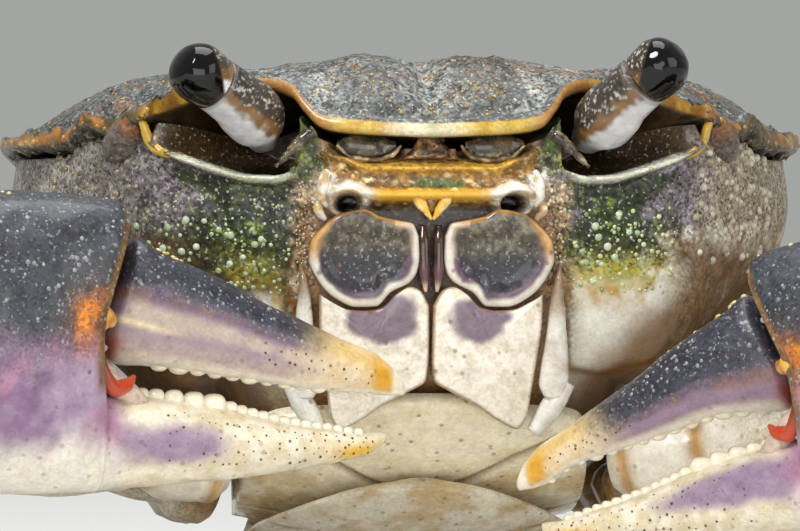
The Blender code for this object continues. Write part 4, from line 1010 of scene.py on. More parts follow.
def paint_face(co):
    """The face's colours: cheeks, sockets, the orange mouth frame, its pits, corners and openings, with painted shade
    in the openings and between the mouth plates.
    """
    x, y, z = co.T
    far = np.abs(x)
    a, b, c = cloud(co, 1.7, 21, 3), cloud(co, 0.5, 22), cloud(co, 0.25, 23)
    colour, white, moss = paint_cheeks(co, a, b, c)
    colour, inside, ridge = paint_sockets(co, colour, a, b)
    centre = smooth(6.2, 5.4, far) * smooth(-7.9, -7.4, z)
    lip = smooth(0.42, 0.2, np.abs(z - lip_height(far)))
    patch = lump(x, z, (0.3, -6.45), (1.7, 0.42))
    orange = layers(
        mix("704e22", "aa7e38", smooth(0.3, 0.7, b)),
        ("d8c48c", smooth(0.6, 0.72, c)),
        (mix("c48424", "d8b042", b), bell(z - brow_height(far), 0.26)),
        (mix("1e240c", "6e7832", c), smooth(0.4, 0.65, patch * 0.85 + (b - 0.45) * 0.9)),
        (mix(mix("ecb83e", "ba7028", 0.4 * b), WHITE, smooth(2.6, 3.6, far + (b - 0.5))), lip),
    )
    corner = band(far, 4.9, 5.4, 6, 6.5) * band(z, -8.3, -7.6, -6, -5.4)
    sandy = smooth(5.7, 6.2, far) * smooth(7.7, 7, far + (b - 0.5)) * band(z, -12.6, -11.6, -6.6, -5.8)
    # where painted shade is deepest between the mouth plates: at the top middle and down the middle slit
    cavity = smooth(3.8, 3, far) * smooth(-9.2, -8.6, z) + smooth(1, 0.7, far) * smooth(-13, -12, z)
    opening = opening_shape(far, z)
    hole = smooth(0.95, 0.78, opening)
    ring = bell(opening - 1.25, 0.26)
    rear = smooth(18, 23, y) * smooth(-23, -18, z)
    colour = layers(
        colour,
        (orange, centre),
        (mix(WHITE, TAN, smooth(0.4, 0.7, b)), corner),
        (mix("322618", "8c704a", b), band(far, 1.1, 1.6, 5.2, 5.9) * smooth(-5.2, -4.85, z)),
        (mix("bc9474", "965c32", b), smooth(1.9, 1.2, far) * smooth(-5.25, -4.9, z)),
        (mix("ac9674", "705c42", smooth(0.4, 0.6, c)), 0.9 * sandy),
        (mix("c4b292", "8c6236", smooth(0.4, 0.65, b)), band(far, 6, 6.4, 7.2, 7.7) * smooth(-10.8, -11.8, z)),
        # the wall seen behind the mouth plates in brown, with painted shade taking it near black in the gaps at the
        # middle
        (mix(mix("785430", "a07a52", b), mix("1c140e", "58402c", b), cavity),
         smooth(7, 6.4, far) * smooth(-7.5, -8, z) * (y > 1.1)),
        # painted shade: the breathing openings filled near black
        (DARK, hole),
        (mix(WHITE, "d6be8c", smooth(0.45, 0.7, b)), np.clip(1.2 * ring, 0, 1) * (1 - hole)),
        (mix("7c6c50", "3c362c", smooth(0.35, 0.65, b * 0.5 + a * 0.5)), 0.85 * rear),
    )
    plain = np.clip(ridge + white + centre + ring + corner, 0, 1)
    grain = 0.35 + 0.65 * np.clip(moss + sandy + smooth(-10, -7.5, z) * smooth(7.5, 9, far), 0, 1)
    grain = grain * (1 - 0.85 * plain) * (1 - 0.5 * inside) + 0.5 * centre * (1 - lip)
    return coat(colour, np.clip(grain + 0.12 * (1 - plain), 0, 1))


class CRAB_OT_face(bpy.types.Operator):
    """The body's wall: the eye sockets, feeler pits, mouth frame and granular cheeks"""

    bl_idname = "crab.face"
    bl_label = "Face"

    def execute(self, context):
        wall = run((0, 0.5, 70), (0.5, 1, 46))
        share = np.concatenate([[0, 0.5, 0.8, 0.93, 0.98], wall, [0.85, 0.5, 0]])
        part = np.repeat((0, 1, 2), (5, len(wall), 3))

        def place(ring, angle):
            co = roughen_face(body_point(share[ring], frontward(angle), part[ring]), part[ring] == 1)
            return co, paint_face(co)

        face = ball("face", context.scene.crab_look.fineness * 8, len(share) - 1, place, "face")
        dress(face, "face", "body")
        skin = (points_of(face.data) - HOME) / MM
        cheek_granules(skin[skin[:, 1] < 10])
        orbit_teeth()
        mouth_frame()
        return {"FINISHED"}


# Where the largest granules stand under either eye, as (x, z)
BIG_GRANULES = (
    (-15.4, -8.6), (-13.8, -8.7), (-12.9, -8.3), (-11.9, -8.3), (-11.2, -8.8), (-10.5, -9.1), (-14.8, -9.5),
    (-14.05, -9.8), (-13.1, -9.9), (-12.4, -9.7), (-11.2, -10.9), (-10.6, -10.6), (-9.9, -10.2), (-9.3, -9.6),
    (-9, -9.3), (10.1, -8), (8.8, -8.6), (8.95, -9.2), (10.6, -8.95), (9.5, -9.7), (11.15, -9), (9.2, -10.6),
    (8.15, -9.9), (12.3, -8.1), (11.5, -9.6), (8.4, -10.5), (8.7, -11.5), (9.85, -10.3),
)
# Fields of smaller granules: x from and to, z from and to, how many, radius from and to, two tones
GRANULE_FIELDS = (
    (-14.5, -7.4, -12.4, -8, 110, 0.06, 0.16, "788c50", "c4ceaa"),
    (7.3, 13.4, -12.2, -7.6, 130, 0.06, 0.16, "829646", "ced6a0"),
    (-21.5, -14.5, -8.5, -3.6, 80, 0.1, 0.22, "545632", "a49678"),
    (-14, -7.5, -8, -6.6, 40, 0.06, 0.12, "787e50", "bebea0"),
    (14.5, 20.5, -10.5, -4.4, 90, 0.14, 0.27, "b0a48c", "ded6be"),
    (-7.2, -6, -11.5, -6.2, 90, 0.06, 0.12, "a88c68", "deccaa"),
    (6, 7.2, -11.5, -6.2, 90, 0.06, 0.12, "a88c68", "deccaa"),
    (-7.6, -5.6, -6, -4.6, 26, 0.1, 0.2, "3c421e", "96966e"),
    (5.6, 7.6, -6, -4.6, 26, 0.1, 0.2, "3c421e", "96966e"),
)


def cheek_granules(skin):
    """The round granules of the cheeks, set on the nearest points of the wall."""
    rng = np.random.default_rng(7)
    places = [(x, z, rng.uniform(0.17, 0.26), "96ac80", "d0dabe") for x, z in BIG_GRANULES]
    for x0, x1, z0, z1, count, r0, r1, low, high in GRANULE_FIELDS:
        places += [(rng.uniform(x0, x1), rng.uniform(z0, z1), rng.uniform(r0, r1), low, high) for _ in range(count)]
    grains = []
    for x, z, r, low, high in places:
        spot = skin[np.argmin(np.hypot(skin[:, 0] - x, skin[:, 2] - z) + 0.02 * skin[:, 1])]
        if not (SOCKET_EDGE(np.abs(spot[0])) - 0.25 < spot[2] and 7.4 < abs(spot[0]) < 15):
            grains.append((spot + (0, 0.5 * r, 0), r, mix(low, high, rng.random()), 0.1))
    dress(beads("cheek_granules", grains), "face")


def orbit_teeth():
    """The tooth at each socket's outer corner, with its yellow ridge running down to the socket's edge."""
    def paint_tooth(co, share, _):
        b = cloud(co, 0.5, 25)
        colour = mix(mix("766c64", "48403a", b), "845834", smooth(0.6, 0.85, share + 0.3 * (b - 0.5)))
        return coat(mix(colour, "c88e38", smooth(0.88, 0.98, share)), 1 - 0.8 * share)

    made = []
    for side, _ in SIDES:
        y = front_y(15.3)
        cone = ((15.9, y + 3.4, -5), (15.9, y + 1.6, -4.2), (15.75, y + 0.4, -3.4), (15.4, y - 0.5, -2.5))
        made.append(tube("cone", cone, (1.2, (1.3, 1.1), (0.9, 0.7), 0.1), 60, paint_tooth, "face", side,
                         up=AHEAD, smoothing=16, relief=dents(0.35, 30, 0.3)))
        ridge = ((15.4, y - 0.6, -2.5), (15.1, y - 0.8, -3.3), (14.75, y - 0.8, -4.2),
                 (14.2, front_y(14.2) - 0.45, -4.7), (13.4, front_y(13.4) - 0.1, -4.95))
        made.append(tube("ridge", ridge, (0.12, 0.24, 0.28, 0.25, 0.12), 24,
                         lambda co, *_: coat(mix("deaa32", "aa963c", cloud(co, 0.5, 26)), 0),
                         side=side, up=AHEAD, smoothing=12, relief=dents(0.3, 31, 0.12)))
    dress(join("orbit_teeth", made), "face")


def mouth_frame():
    """The V-shaped tooth over the mouth, the white prongs at the frame's corners and the nose."""
    tooth = mottled("e4b03e", "eed68c", 0.4, 27, 0.35, 0.7)
    prong = mottled(WHITE, "ceac74", 0.5, 28, 0.45, 0.7)
    parts = (
        (((1.75, 0.5, -6.95), (1.15, 0.36, -6.86), (0.62, 0.3, -7.4), (0.05, 0.28, -8.28)),
         (0.12, (0.28, 0.24), (0.3, 0.24), 0.07), tooth, 10),
        (((5.5, 0.9, -5.7), (5.75, 0.7, -6.3), (5.75, 0.75, -7), (5.5, 0.9, -7.6)),
         (0.16, 0.3, (0.3, 0.28), 0.14), prong, 8),
        (((5.9, 1.2, -7.1), (6, 1, -7.7), (5.6, 1.05, -8.3)), (0.12, (0.26, 0.24), 0.12), prong, 8),
    )
    made = [tube("part", line, sizes, 24, tone, side=side, up=AHEAD, smoothing=fine, relief=dents(0.25, 29, 0.12))
            for side, _ in SIDES for line, sizes, tone, fine in parts]
    made.append(tube("web", ((0, 0.75, -6.85), (0, 0.6, -7.3), (0, 0.5, -7.9)), ((0.8, 0.3), (0.5, 0.25), 0.1), 24,
                     flat("805c22"), up=AHEAD))
    made.append(tube("nose", ((0, 1.7, -3.7), (0, 1.35, -4.4), (0, 1.15, -5.1)), ((0.7, 0.5), (0.85, 0.5), (1.5, 0.5)),
                     64, mottled("422e1a", "926c42", 0.4, 33, 0.35, 0.65, 0.7), "face", up=AHEAD, smoothing=20,
                     relief=dents(0.35, 32, 0.4)))
    dress(join("mouth_frame", made), "face")


def plate(name, outline, side, paint, dish=0, crown=0):
    """A plate seen from the front, rounded at its edge: an outline of (x, z) points."""
    rows = np.array([*outline, outline[0]], float)
    loop = spline(by_length(rows, 1))
    centre = rows[:-1].mean(axis=0)
    front = run((0, 0.8, 14), (0.8, 1, 14))
    share = np.append(front, (1, 1, 0.96, 0.5, 0))
    depth = np.append(0 * front, (0.35, 0.75, 1, 1, 1))

    def place(ring, angle):
        out = loop((angle / (2 * math.pi)) % 1) - centre
        out = out * (1 + PLATE_SPREAD / np.maximum(length(out), 0.2))[:, None]
        spot = centre + out * share[ring][:, None]
        gap = (1 - share[ring]) * np.maximum(length(out), 0.2)
        step = np.clip(PLATE_ROUNDING - gap, 0, PLATE_ROUNDING)
        roll_in = PLATE_ROUNDING - np.sqrt(np.maximum(PLATE_ROUNDING**2 - step**2, 0))
        hollow = dish * smooth(0.55, 1.5, gap) - crown * smooth(0.1, 2.2, gap)
        back = PLATE_ROUNDING + (PLATE_THICKNESS - PLATE_ROUNDING) * depth[ring]
        at_front = depth[ring] == 0
        y = plate_front(spot[:, 1]) + np.where(at_front, roll_in + hollow, back)
        co = np.column_stack([spot[:, 0] * side, y, spot[:, 1]])
        co[:, 1] += np.where(at_front, dents(0.6, 31, 0.05)(co), 0)
        return co, paint(co, gap)

    return ball(name, 160, len(share) - 1, place, "plate")


def paint_upper_plate(co, gap):
    """Olive grey grains, navy below them, a purple fringe and an orange to cream rim."""
    x, _, z = co.T
    far = np.abs(x)
    a, b = cloud(co, 1.5, 41, 3), cloud(co, 0.35, 45)
    inner = mix("423a2c", "78705c", smooth(0.4, 0.75, b))
    inner = mix(inner, mix("181822", "343038", b), smooth(-9.4, -10.6, z + (a - 0.5)))
    wobble = gap + (cloud(co, 0.8, 42) - 0.5) * 0.45 + 0.3 * smooth(-9.5, -8, z) * (far > 2)
    rim = mix(mix(WHITE, CREAM, a), mix("be782c", "d6a854", b), smooth(-10.2, -8.9, z + 0.35 * (far - 4.2)) * 0.9)
    fringe = bell(wobble - 0.55, 0.25) * smooth(-9.8, -10.6, z) * smooth(0.35, 0.65, cloud(co, 0.9, 48))
    colour = layers(
        mix(rim, inner, smooth(0.3, 0.6, wobble)),
        (mix(PURPLE, "744660", b), 0.8 * fringe),
        (AMBER, 0.5 * bell(wobble - 0.42, 0.12) * smooth(-10.6, -9.6, z)),
        (BROWN, 0.6 * smooth(0.07, 0, gap)),
    )
    return coat(colour, 0.65 * smooth(0.5, 0.9, wobble))


def paint_lower_plate(co, gap):
    """White with purple clouds near its upper edge and small brown pits."""
    x, _, z = co.T
    a, b = cloud(co, 1.4, 43, 3), cloud(co, 0.4, 46)
    clouds = 1.5 * lump(np.abs(x), z, (2.5, -13.6), (1.9, 1.4)) + (a - 0.5)
    colour = layers(
        mix("f4eada", CREAM, smooth(0.4, 0.7, b)),
        (mix("46324c", "7c647a", b), 0.9 * smooth(0.45, 0.85, clouds)),
        (CREAM, 0.5 * smooth(-16, -18.5, z)),
        ("966c42", 0.7 * smooth(0.2, 0.04, gap)),
    )
    return coat(colour, 0.08)


def paint_pale(co, *_):
    """Cream shell with a soft tan cloud."""
    a = cloud(co, 1.2, 44, 3)
    colour = mix(WHITE, TAN, 0.5 * smooth(0.45, 0.75, a))
    return coat(mix(colour, "80603a", 0.9 * smooth(-13.6, -11.6, co[:, 2] + (a - 0.5))), 0.05)


def paint_palp(co, share, _):
    """Glossy dark brown, purple lower down and pale at the tip."""
    colour = mix(mix("241a12", "543828", cloud(co, 0.5, 47)), "6e4854", 0.7 * smooth(0.5, 0.75, share))
    return coat(mix(colour, "d6ba96", smooth(0.8, 0.97, share)), 0.1)


class CRAB_OT_mouth(bpy.types.Operator):
    """The jaw plates that close the mouth, with their outer strips and dark palps"""

    bl_idname = "crab.mouth"
    bl_label = "Mouth plates"

    def execute(self, context):
        middles = [((low + high) / 2, plate_front(z) + 0.5 + 0.9 * (i == 0), z)
                   for i, (z, low, high) in enumerate(OUTER_PLATE)]
        halves = [((high - low) / 2, 0.5) for _, low, high in OUTER_PLATE]
        for side, word in SIDES:
            upper = plate("upper_plate_" + word, UPPER_PLATE, side, paint_upper_plate, dish=0.22)
            dress(upper, "jaw", "jaw_upper_" + word)
            lower = plate("lower_plate_" + word, LOWER_PLATE, side, paint_lower_plate, crown=0.12)
            dress(lower, "pale_shell", "jaw_lower_" + word)
            strip = tube("strip", middles, halves, 40, paint_pale, "plate", side, 0.75, AHEAD, 8)
            knob = tube("knob", ((7.4, 1.9, -16.9), (6.6, 2.2, -18.2), (5.65, 2.5, -19.6)), (0.45, 0.62, 0.4), 32,
                        paint_pale, "plate", side)
            dress(join("outer_strip_" + word, [strip, knob]), "pale_shell", "jaw_outer_" + word)
            palp = tube("palp_" + word, ((0.42, 1, -8.6), (0.42, 0.7, -9.6), (0.4, 0.65, -10.8), (0.3, 0.8, -12.1)),
                        ((0.16, 0.15), (0.3, 0.22), (0.3, 0.22), 0.08), 24, paint_palp, side=side, up=AHEAD)
            dress(palp, "dark_shell", "palp_" + word)
        return {"FINISHED"}


def paint_stalk(co, angle, side):
    """An eye stalk: dark above, tan and white below, with small pale specks painted as glints."""
    a, b = cloud(co, 0.6, 51), cloud(co, 0.15, 54)
    level = np.sin(angle + 0.25 * side) + (a - 0.5) * 0.5
    colour = layers(
        mix("26201c", "54483e", a * 0.5 + b * 0.5),
        (mix("967042", "70502e", a), smooth(0.05, -0.3, level)),
        (mix(WHITE, "bec0d0", a), smooth(-0.34, -0.62, level)),
        # painted glints: small pale specks over the upper part
        ("c4c0b4", 0.8 * smooth(0.62, 0.7, b) * smooth(-0.3, 0, level)),
    )
    return colour, a, 0.25 * smooth(-0.1, 0.3, level)


def paint_eye(co, share, side, middle):
    """An eye: glossy black with a brown ring at its back, where the stalk's skin runs out."""
    black = mix("0a0808", "423022", smooth(0.14, 0.02, share) * (0.3 + 0.7 * cloud(co, 0.6, 53)))
    out = (co - middle) @ (0.95 * side, -0.2, -0.24)
    skin, _, _ = paint_stalk(co, np.arcsin(np.clip((co[:, 2] - middle[2]) / 1.7, -1, 1)), side)
    return coat(layers(skin, ("3a2c20", smooth(-1, -0.85, out)), (black, smooth(-0.86, -0.8, out))), 0)


class CRAB_OT_eyes(bpy.types.Operator):
    """The eye stalks leaning out of their sockets, with their dark glossy eyes"""

    bl_idname = "crab.eyes"
    bl_label = "Eyes"

    def execute(self, context):
        for side, word in SIDES:
            line, eye_line = (np.array(rows[word]) * (side, 1, 1, 1) for rows in (STALKS, EYES))
            way = unit(eye_line[2, :3] - line[3, :3])
            line = np.vstack([line, [*(line[-1, :3] + way * 0.13), 1.49]])
            eye_line[:2, :3] -= way * ((0.16,), (0.07,))
            middle = eye_line[2, :3]

            def paint(co, share, angle):
                colour, a, grain = paint_stalk(co, angle, side)
                return coat(mix(colour, mix("96928c", "463c34", a), 0.4 * smooth(0.955, 0.985, share)), grain)

            stalk = tube("stalk_" + word, line[:, :3], line[:, 3], 140, paint, "face", smoothing=16,
                         relief=dents(0.5, 52, 0.07))
            dress(stalk, "stalk", "eyestalk_" + word)
            eye = tube("eye_piece_" + word, eye_line[:, :3], eye_line[:, 3], 120,
                       lambda co, share, _: paint_eye(co, share, side, middle), "eye", smoothing=14)
            dress(eye, "eye", "eye_" + word)
        return {"FINISHED"}


def paint_feeler(co, *_):
    """Dark brown with pale flecks that are painted highlights."""
    colour = mix("241e14", "5c4a2e", smooth(0.3, 0.7, cloud(co, 0.5, 61)))
    # painted highlights: the pale flecks
    return coat(mix(colour, "b0a282", 0.6 * smooth(0.58, 0.8, cloud(co, 0.4, 62, 3))), 0.3)


class CRAB_OT_feelers(bpy.types.Operator):
    """The short folded feelers in their pits and the small outer pair"""

    bl_idname = "crab.feelers"
    bl_label = "Feelers"

    def execute(self, context):
        for side, word in SIDES:
            rim = tube("rim", ((1.6, 1, -4.35), (2.1, 0.9, -4.9), (3.1, 0.85, -5.15), (4.2, 0.9, -5), (5, 1, -4.35)),
                       (0.07, (0.12, 0.13), 0.14, (0.12, 0.13), 0.07), 32,
                       mottled("543e26", "ac9670", 0.4, 63, 0.4, 0.75, 0.2), side=side, smoothing=16,
                       relief=dents(0.3, 64, 0.1))
            inner = tube("inner_feeler_" + word,
                         ((4.95, 1.45, -4.3), (4.2, 1.3, -4.42), (3, 1.25, -4.5), (1.85, 1.35, -4.42)),
                         ((0.28, 0.3), (0.42, 0.66), (0.42, 0.7), (0.26, 0.3)), 110, paint_feeler, side=side,
                         smoothing=32)
            dress(join("inner_feeler_" + word, [inner, rim]), "dark_shell", "antennule_" + word)
            outer = tube("outer_feeler_" + word,
                         ((6.25, 0.3, -3.65), (6.9, 0.2, -4.1), (7.7, 0.1, -4.9), (8.3, -0.05, -5.5)),
                         (0.36, 0.34, 0.22, 0.1), 32, paint_feeler, side=side, smoothing=12,
                         relief=lambda co, share, angle: -0.06 * smooth(0.6, 0.95, np.sin(share * 22)))
            dress(outer, "dark_shell", "antenna_" + word)
        return {"FINISHED"}


def breast_grooves(x, y):
    """1 in the breast plate's grooves."""
    far = np.abs(x)
    across = [near(far, y, ((6.5, start + 0.4), (9.8, start)), 0.22) for start in (13.3, 17.8, 22.4)]
    return np.maximum.reduce([near(far, y, ((0, 9.2), (2.6, 8), (5, 6.4), (7.4, 5.4)), 0.34), *across])


def tail_seams(place, across):
    """1 in the seams between the tail flap's segments."""
    gaps = [np.abs(place - at - 0.02 * (1 - across**2)) for at in (0.16, 0.33, 0.47, 0.62, 0.76, 0.88)]
    return smooth(0.007, 0, np.minimum.reduce(gaps))


def breast_plate():
    """The broad plate under the body, grooved where the segments meet."""
    loop = spline(by_length(np.array(STERNUM_LINE, float), 1))
    centre = np.array([0, 0.5 * (STERNUM_LINE[0][1] + STERNUM_LINE[-1][1])])
    share = np.append((0, 0.5, 0.85, 1), np.linspace(0.995, 0, 60) ** 0.8)

    def place(ring, angle):
        x, y = (centre + (both_sides(angle, loop) - centre) * share[ring][:, None]).T
        groove = breast_grooves(x, y)
        low = BREAST(y) + 1.1 * (np.abs(x) / 10) ** 2 + 0.35 * groove
        co = np.column_stack([x, y, np.where(ring < 4, UNDER(y) - 2 * GAP, low)])
        a = cloud(co, 1.8, 71, 3)
        # the cream is painted extra pale and warm: painted light that lifts the shade under the body
        colour = layers(
            mix("fcf0d0", "ceaa6c", 0.4 * smooth(0.45, 0.75, a)),
            ("cea454", 0.5 * smooth(3.5, 7.5, np.abs(x)) * smooth(0.4, 0.6, a)),
            ("784c22", 0.9 * groove),
        )
        return co, coat(colour, 0.06)

    return ball("breast_plate", 320, len(share) - 1, place, "plate")


def tail_plate():
    """The tail flap's plates folded under the body, and their slate back behind it."""
    places = np.linspace(0, 1, 110)
    middle = spline(TAIL_ROWS)(places)
    ahead = unit(np.gradient(middle[:, :2], axis=0))

    def place(ring, angle):
        i, grow, c, s = oval(ring, angle, len(places), 0.6)
        y, z, half = middle[i].T
        at = places[i]
        bend = (0.9 + 1.6 * smooth(0.55, 0.75, at)) * (c * half / 10) ** 2
        seam = tail_seams(at, c)
        thick = TAIL_THICKNESS / 2 * (1 - 0.3 * c * c) - 0.22 * seam * (s < 0)
        push = (s * thick - bend) * grow
        co = np.column_stack([c * half * grow, y + ahead[i, 1] * push, z - ahead[i, 0] * push])
        a = cloud(co, 1.2, 72, 3)
        back = smooth(0.6, 0.78, at)
        slate = mix("383836", BLUE_GREY, smooth(0.3, 0.7, cloud(co, 0.5, 74)))
        colour = layers(
            mix(CREAM, OCHRE, 0.7 * smooth(0.45, 0.7, a)),
            (LIME, 0.25 * smooth(0.6, 0.8, cloud(co, 0.8, 73))),
            (mix(slate, OLIVE, a), 0.9 * back),
            ("785024", 0.8 * seam),
        )
        return co, coat(colour, 0.1 + 0.6 * back)

    return ball("tail_plate", 160, len(places) + 1, place, "plate")


class CRAB_OT_underside(bpy.types.Operator):
    """The breast plate and the broad tail flap folded beneath it"""

    bl_idname = "crab.underside"
    bl_label = "Underside"

    def execute(self, context):
        dress(breast_plate(), "pale_shell", "sternum")
        dress(tail_plate(), "pale_shell", "tail_flap")
        return {"FINISHED"}


class ClawFrame:
    """The axes of a claw: U runs to the finger tips, V up the hand and W out of its outer face."""

    def __init__(self, side, hinge, turn_in, dip, scale):
        self.hinge = np.array(hinge, float)
        self.scale = scale
        a, d = math.radians(turn_in), math.radians(dip)
        self.u = np.array([-side * math.cos(d) * math.cos(a), math.cos(d) * math.sin(a), -math.sin(d)])
        self.w = np.array([-side * math.sin(a), -math.cos(a), 0])
        v = np.cross(self.u, self.w)
        self.axes = np.array([self.u, v * np.sign(v[2]), self.w])

    def at(self, u, v, w):
        """The places of points given along the claw's own axes."""
        along = np.stack(np.broadcast_arrays(u + hinge_lean(u, v), v, w), axis=-1)
        return self.hinge + along * self.scale @ self.axes


# Each claw: the frame on the finger's hinge, the elbow, how far its purple reaches and how high,
# how much lower the slate comes on its finger, and how much thinner that finger is
CLAWS = {
    "right": (ClawFrame(-1, (-17.6, -9.6, -12.4), 12, 0, 1), (-30.5, -0.2, -18.2), (3.4, 0.5), 0, 0),
    "left": (ClawFrame(1, (17, -10.2, -14.9), 26, 10, 0.98), (30.8, -4, -16.8), (5.6, 0.62), 0.25, 0.75),
}


def claw_mesh(name, axes, rows, paint):
    """A hand or finger with its granules and pits, painted along the claw's own axes."""
    at = np.array(rows)[:, 0]
    fine = [np.linspace(a, b, max(2, int((b - a) * 8)), endpoint=False) for a, b in zip(at[:-1], at[1:])]
    fine = np.concatenate([*fine, at[-1:]])
    table = spline(rows)(fine)

    def place(ring, angle):
        i, grow, c, s = oval(ring, angle, len(fine), claw_roundness(fine, rows))
        high, low, half = table[i].T
        u = fine[i]
        w = c * half * grow - CLAW_BEND * np.maximum(u, 0) ** 2
        v = (high + low) / 2 + s * (high - low) / 2 * grow
        local = np.column_stack([u, v, w])
        swell = ((cloud(local, 1, 81) - 0.5) * 0.12 + (cloud(local, 0.35, 82, 1) - 0.5) * 0.04) * grow
        v, w = v + s * swell, w + c * swell
        return axes.at(u, v, w), paint(u, v, w, (v - low) / np.maximum(high - low, 0.1), local)

    return ball(name, 160, len(fine) + 1, place, "claw")


def paint_hand(u, v, w, share, local, reach, blot_at):
    """Slate above, purple across the middle, cream below, and ivory fingers with yellow near the tip.

    The purple blot on the finger has a reach along it and a place across it.
    """
    a, b = cloud(local, 2.4, 83, 3), cloud(local, 0.7, 84)
    level = v + (a - 0.5) * 2.6
    lower = mix("a48ca2", "7a5a7a", smooth(0.3, 0.7, b * 0.5 + a * 0.5))
    lower = mix(lower, "b27a94", 0.6 * smooth(0.5, 0.65, cloud(local, 2, 86)))
    fixed = smooth(0.2, 1.6, u)
    blot = 1.2 * lump(u, share, (3.6, blot_at), (reach, 0.3)) + (a - 0.5) * 0.9
    ivory = mix("e8dec6", "d6c6a4", smooth(0.3, 0.7, b))
    palm_end = smooth(0.42, 0.12, np.abs(u + 0.36)) * smooth(-4.8, -4, v) * (w > 0)
    colour = layers(
        mix(mix(CREAM, WHITE, b), lower, smooth(-8.2, -5.8, level)),
        (mix("282a30", "42464c", b), smooth(-4.2, -0.4, level)),
        (mix("ce781a", "7e4a28", smooth(0.35, 0.65, b)), 1.3 * lump(u, v, (-1.3, -0.9), (1, 1.25)) * (w > 0)),
        (mix(ivory, mix("7e6682", "a48e9e", b), smooth(0.35, 0.9, blot)), fixed),
        ("deb03c", 1.2 * lump(u, share, (13.2, 0.3), (1.3, 0.3))),
        (mix("9e7442", "5c4226", b), 0.9 * palm_end),
        (mix("783e1e", BROWN, b), band(u, -0.26, -0.18, 0, 0.06) * smooth(-4.4, -3.6, v)),
    )
    return coat(colour, 0.5 * smooth(-4.2, -1, level) * (1 - fixed) + 0.02)


def paint_finger(u, v, w, share, local, turned):
    """The moving finger: slate above, a thin cream line, purple and tan below it, cream at the tip and edge.

    On a finger turned to show its outer side the slate reaches lower and the tan band is gone.
    """
    a, b = cloud(local, 1.8, 85, 3), cloud(local, 0.6, 87)
    wavy = share + (a - 0.5) * 0.16 + turned
    tan_band = bell(share - 0.42, 0.13) * smooth(0.2, 1.5, u) * (turned == 0)
    stripe = bell(v + 0.7 + 0.3 * u, 0.16) * smooth(4.5, 1.5, u) * (turned == 0)
    colour = layers(
        mix("8e7688", "baa698", smooth(0.2, 0.85, (a - 0.5) * 0.9 + 0.9 * tan_band)),
        (mix("cebaa0", "ac9296", b), 0.75 * smooth(0.42, 0.1, wavy)),
        (mix("523c50", "7a5432", smooth(0.4, 0.6, a)), 0.75 * bell(wavy - 0.58, 0.07)),
        (mix("26262e", "40404c", b), smooth(0.56, 0.7, wavy)),
        ("decaa2", 1.1 * stripe),
        (mix("e6d8ba", "d6b88c", b), smooth(9, 12.5, u + (b - 0.5) + 2.5 * (0.5 - share))),
        ("d8b260", 0.8 * lump(u, share, (13, 0.75), (1.8, 0.25))),
        ("d89e28", 1.3 * lump(u, share, (14.7, 0.45), (0.7, 0.5))),
        (IVORY, smooth(15.2, 15.5, u)),
        (mix(CREAM, WHITE, b), 0.9 * smooth(0.15, 0.03, share)),
        ("963c18", 0.9 * smooth(1.3, 0.5, u) * smooth(-1.2, -2.3, v)),
    )
    return coat(colour, 0.02 + 0.45 * smooth(0.5, 0.7, wavy) * smooth(12, 9, u))


def teeth(axes, rows, places, lower):
    """The biting teeth along an edge: narrow along the finger, high and deep."""
    table = spline(rows)
    grains = []
    for u, radius in places:
        high, low, _ = table(u)
        v = high - 0.5 * radius if lower else low + 0.68 * radius
        grains.append((axes.at(u, v, -CLAW_BEND * u * u), radius * axes.scale, IVORY, 0))
    shape = 1 + (0 if lower else 0.3) * np.abs(axes.u) + (0, 0.4, 0.45 if lower else 0.15)
    return beads("teeth", grains, 3, 0.66 if lower else 0.9, shape)


def claw_beads(axes, rows, seed):
    """Flat pale dots over the outer face, a few yellow beads along the upper edge, and rows of dark pits."""
    rng = np.random.default_rng(seed)
    table = spline(rows)
    on_hand = rows is HAND
    grains = []
    for _ in range(420):
        u = rng.uniform(rows[1][0], rows[-4][0])
        crest = rng.random() < 0.08
        turn = rng.uniform(1.3, 1.5) if crest else math.asin(rng.uniform(-0.1, 0.97))
        if (on_hand and u > 0) or (crest and not -13 < u < 5) or (not on_hand and rng.random() > smooth(12, 8, u)):
            continue
        r = rng.uniform(0.12, 0.18) if crest else rng.uniform(0.08, 0.18)
        if not on_hand and (turn < 0.12 or rng.random() < 0.55):
            continue
        if crest:
            r *= 1 if on_hand else 1.4
        sunk = (0.5 if crest else 0.76) * r
        high, low, half = table(u)
        power = claw_roundness(u, rows)
        c, s = math.cos(turn) ** power, math.copysign(abs(math.sin(turn)) ** power, turn)
        out = c * (half - sunk) - CLAW_BEND * max(u, 0) ** 2
        spot = axes.at(u, (high + low) / 2 + s * ((high - low) / 2 - sunk), out)
        pale, yellow = mix("5c6066", "969696", rng.random()), mix("bea854", "d4c482", rng.random())
        grains.append((spot, r, yellow if crest else pale, 0))
    for share in (0.82, 0.64, 0.44, 0.24) if on_hand else (0.3, 0.45):
        u = 3 if on_hand else 8
        while u < 14.2:
            high, low, half = table(u)
            s = 2 * (share + rng.uniform(-0.07, 0.07)) - 1
            c = (1 - min(abs(s), 0.98) ** (2 / FINGER_ROUNDNESS)) ** (FINGER_ROUNDNESS / 2)
            spot = axes.at(u, low + (s + 1) / 2 * (high - low), c * half - CLAW_BEND * u * u)
            grains.append((spot, rng.uniform(0.035, 0.08), mix("3c281a", "826040", rng.random()), 0))
            u += rng.uniform(0.25, 0.9)
    return beads("beads", grains)


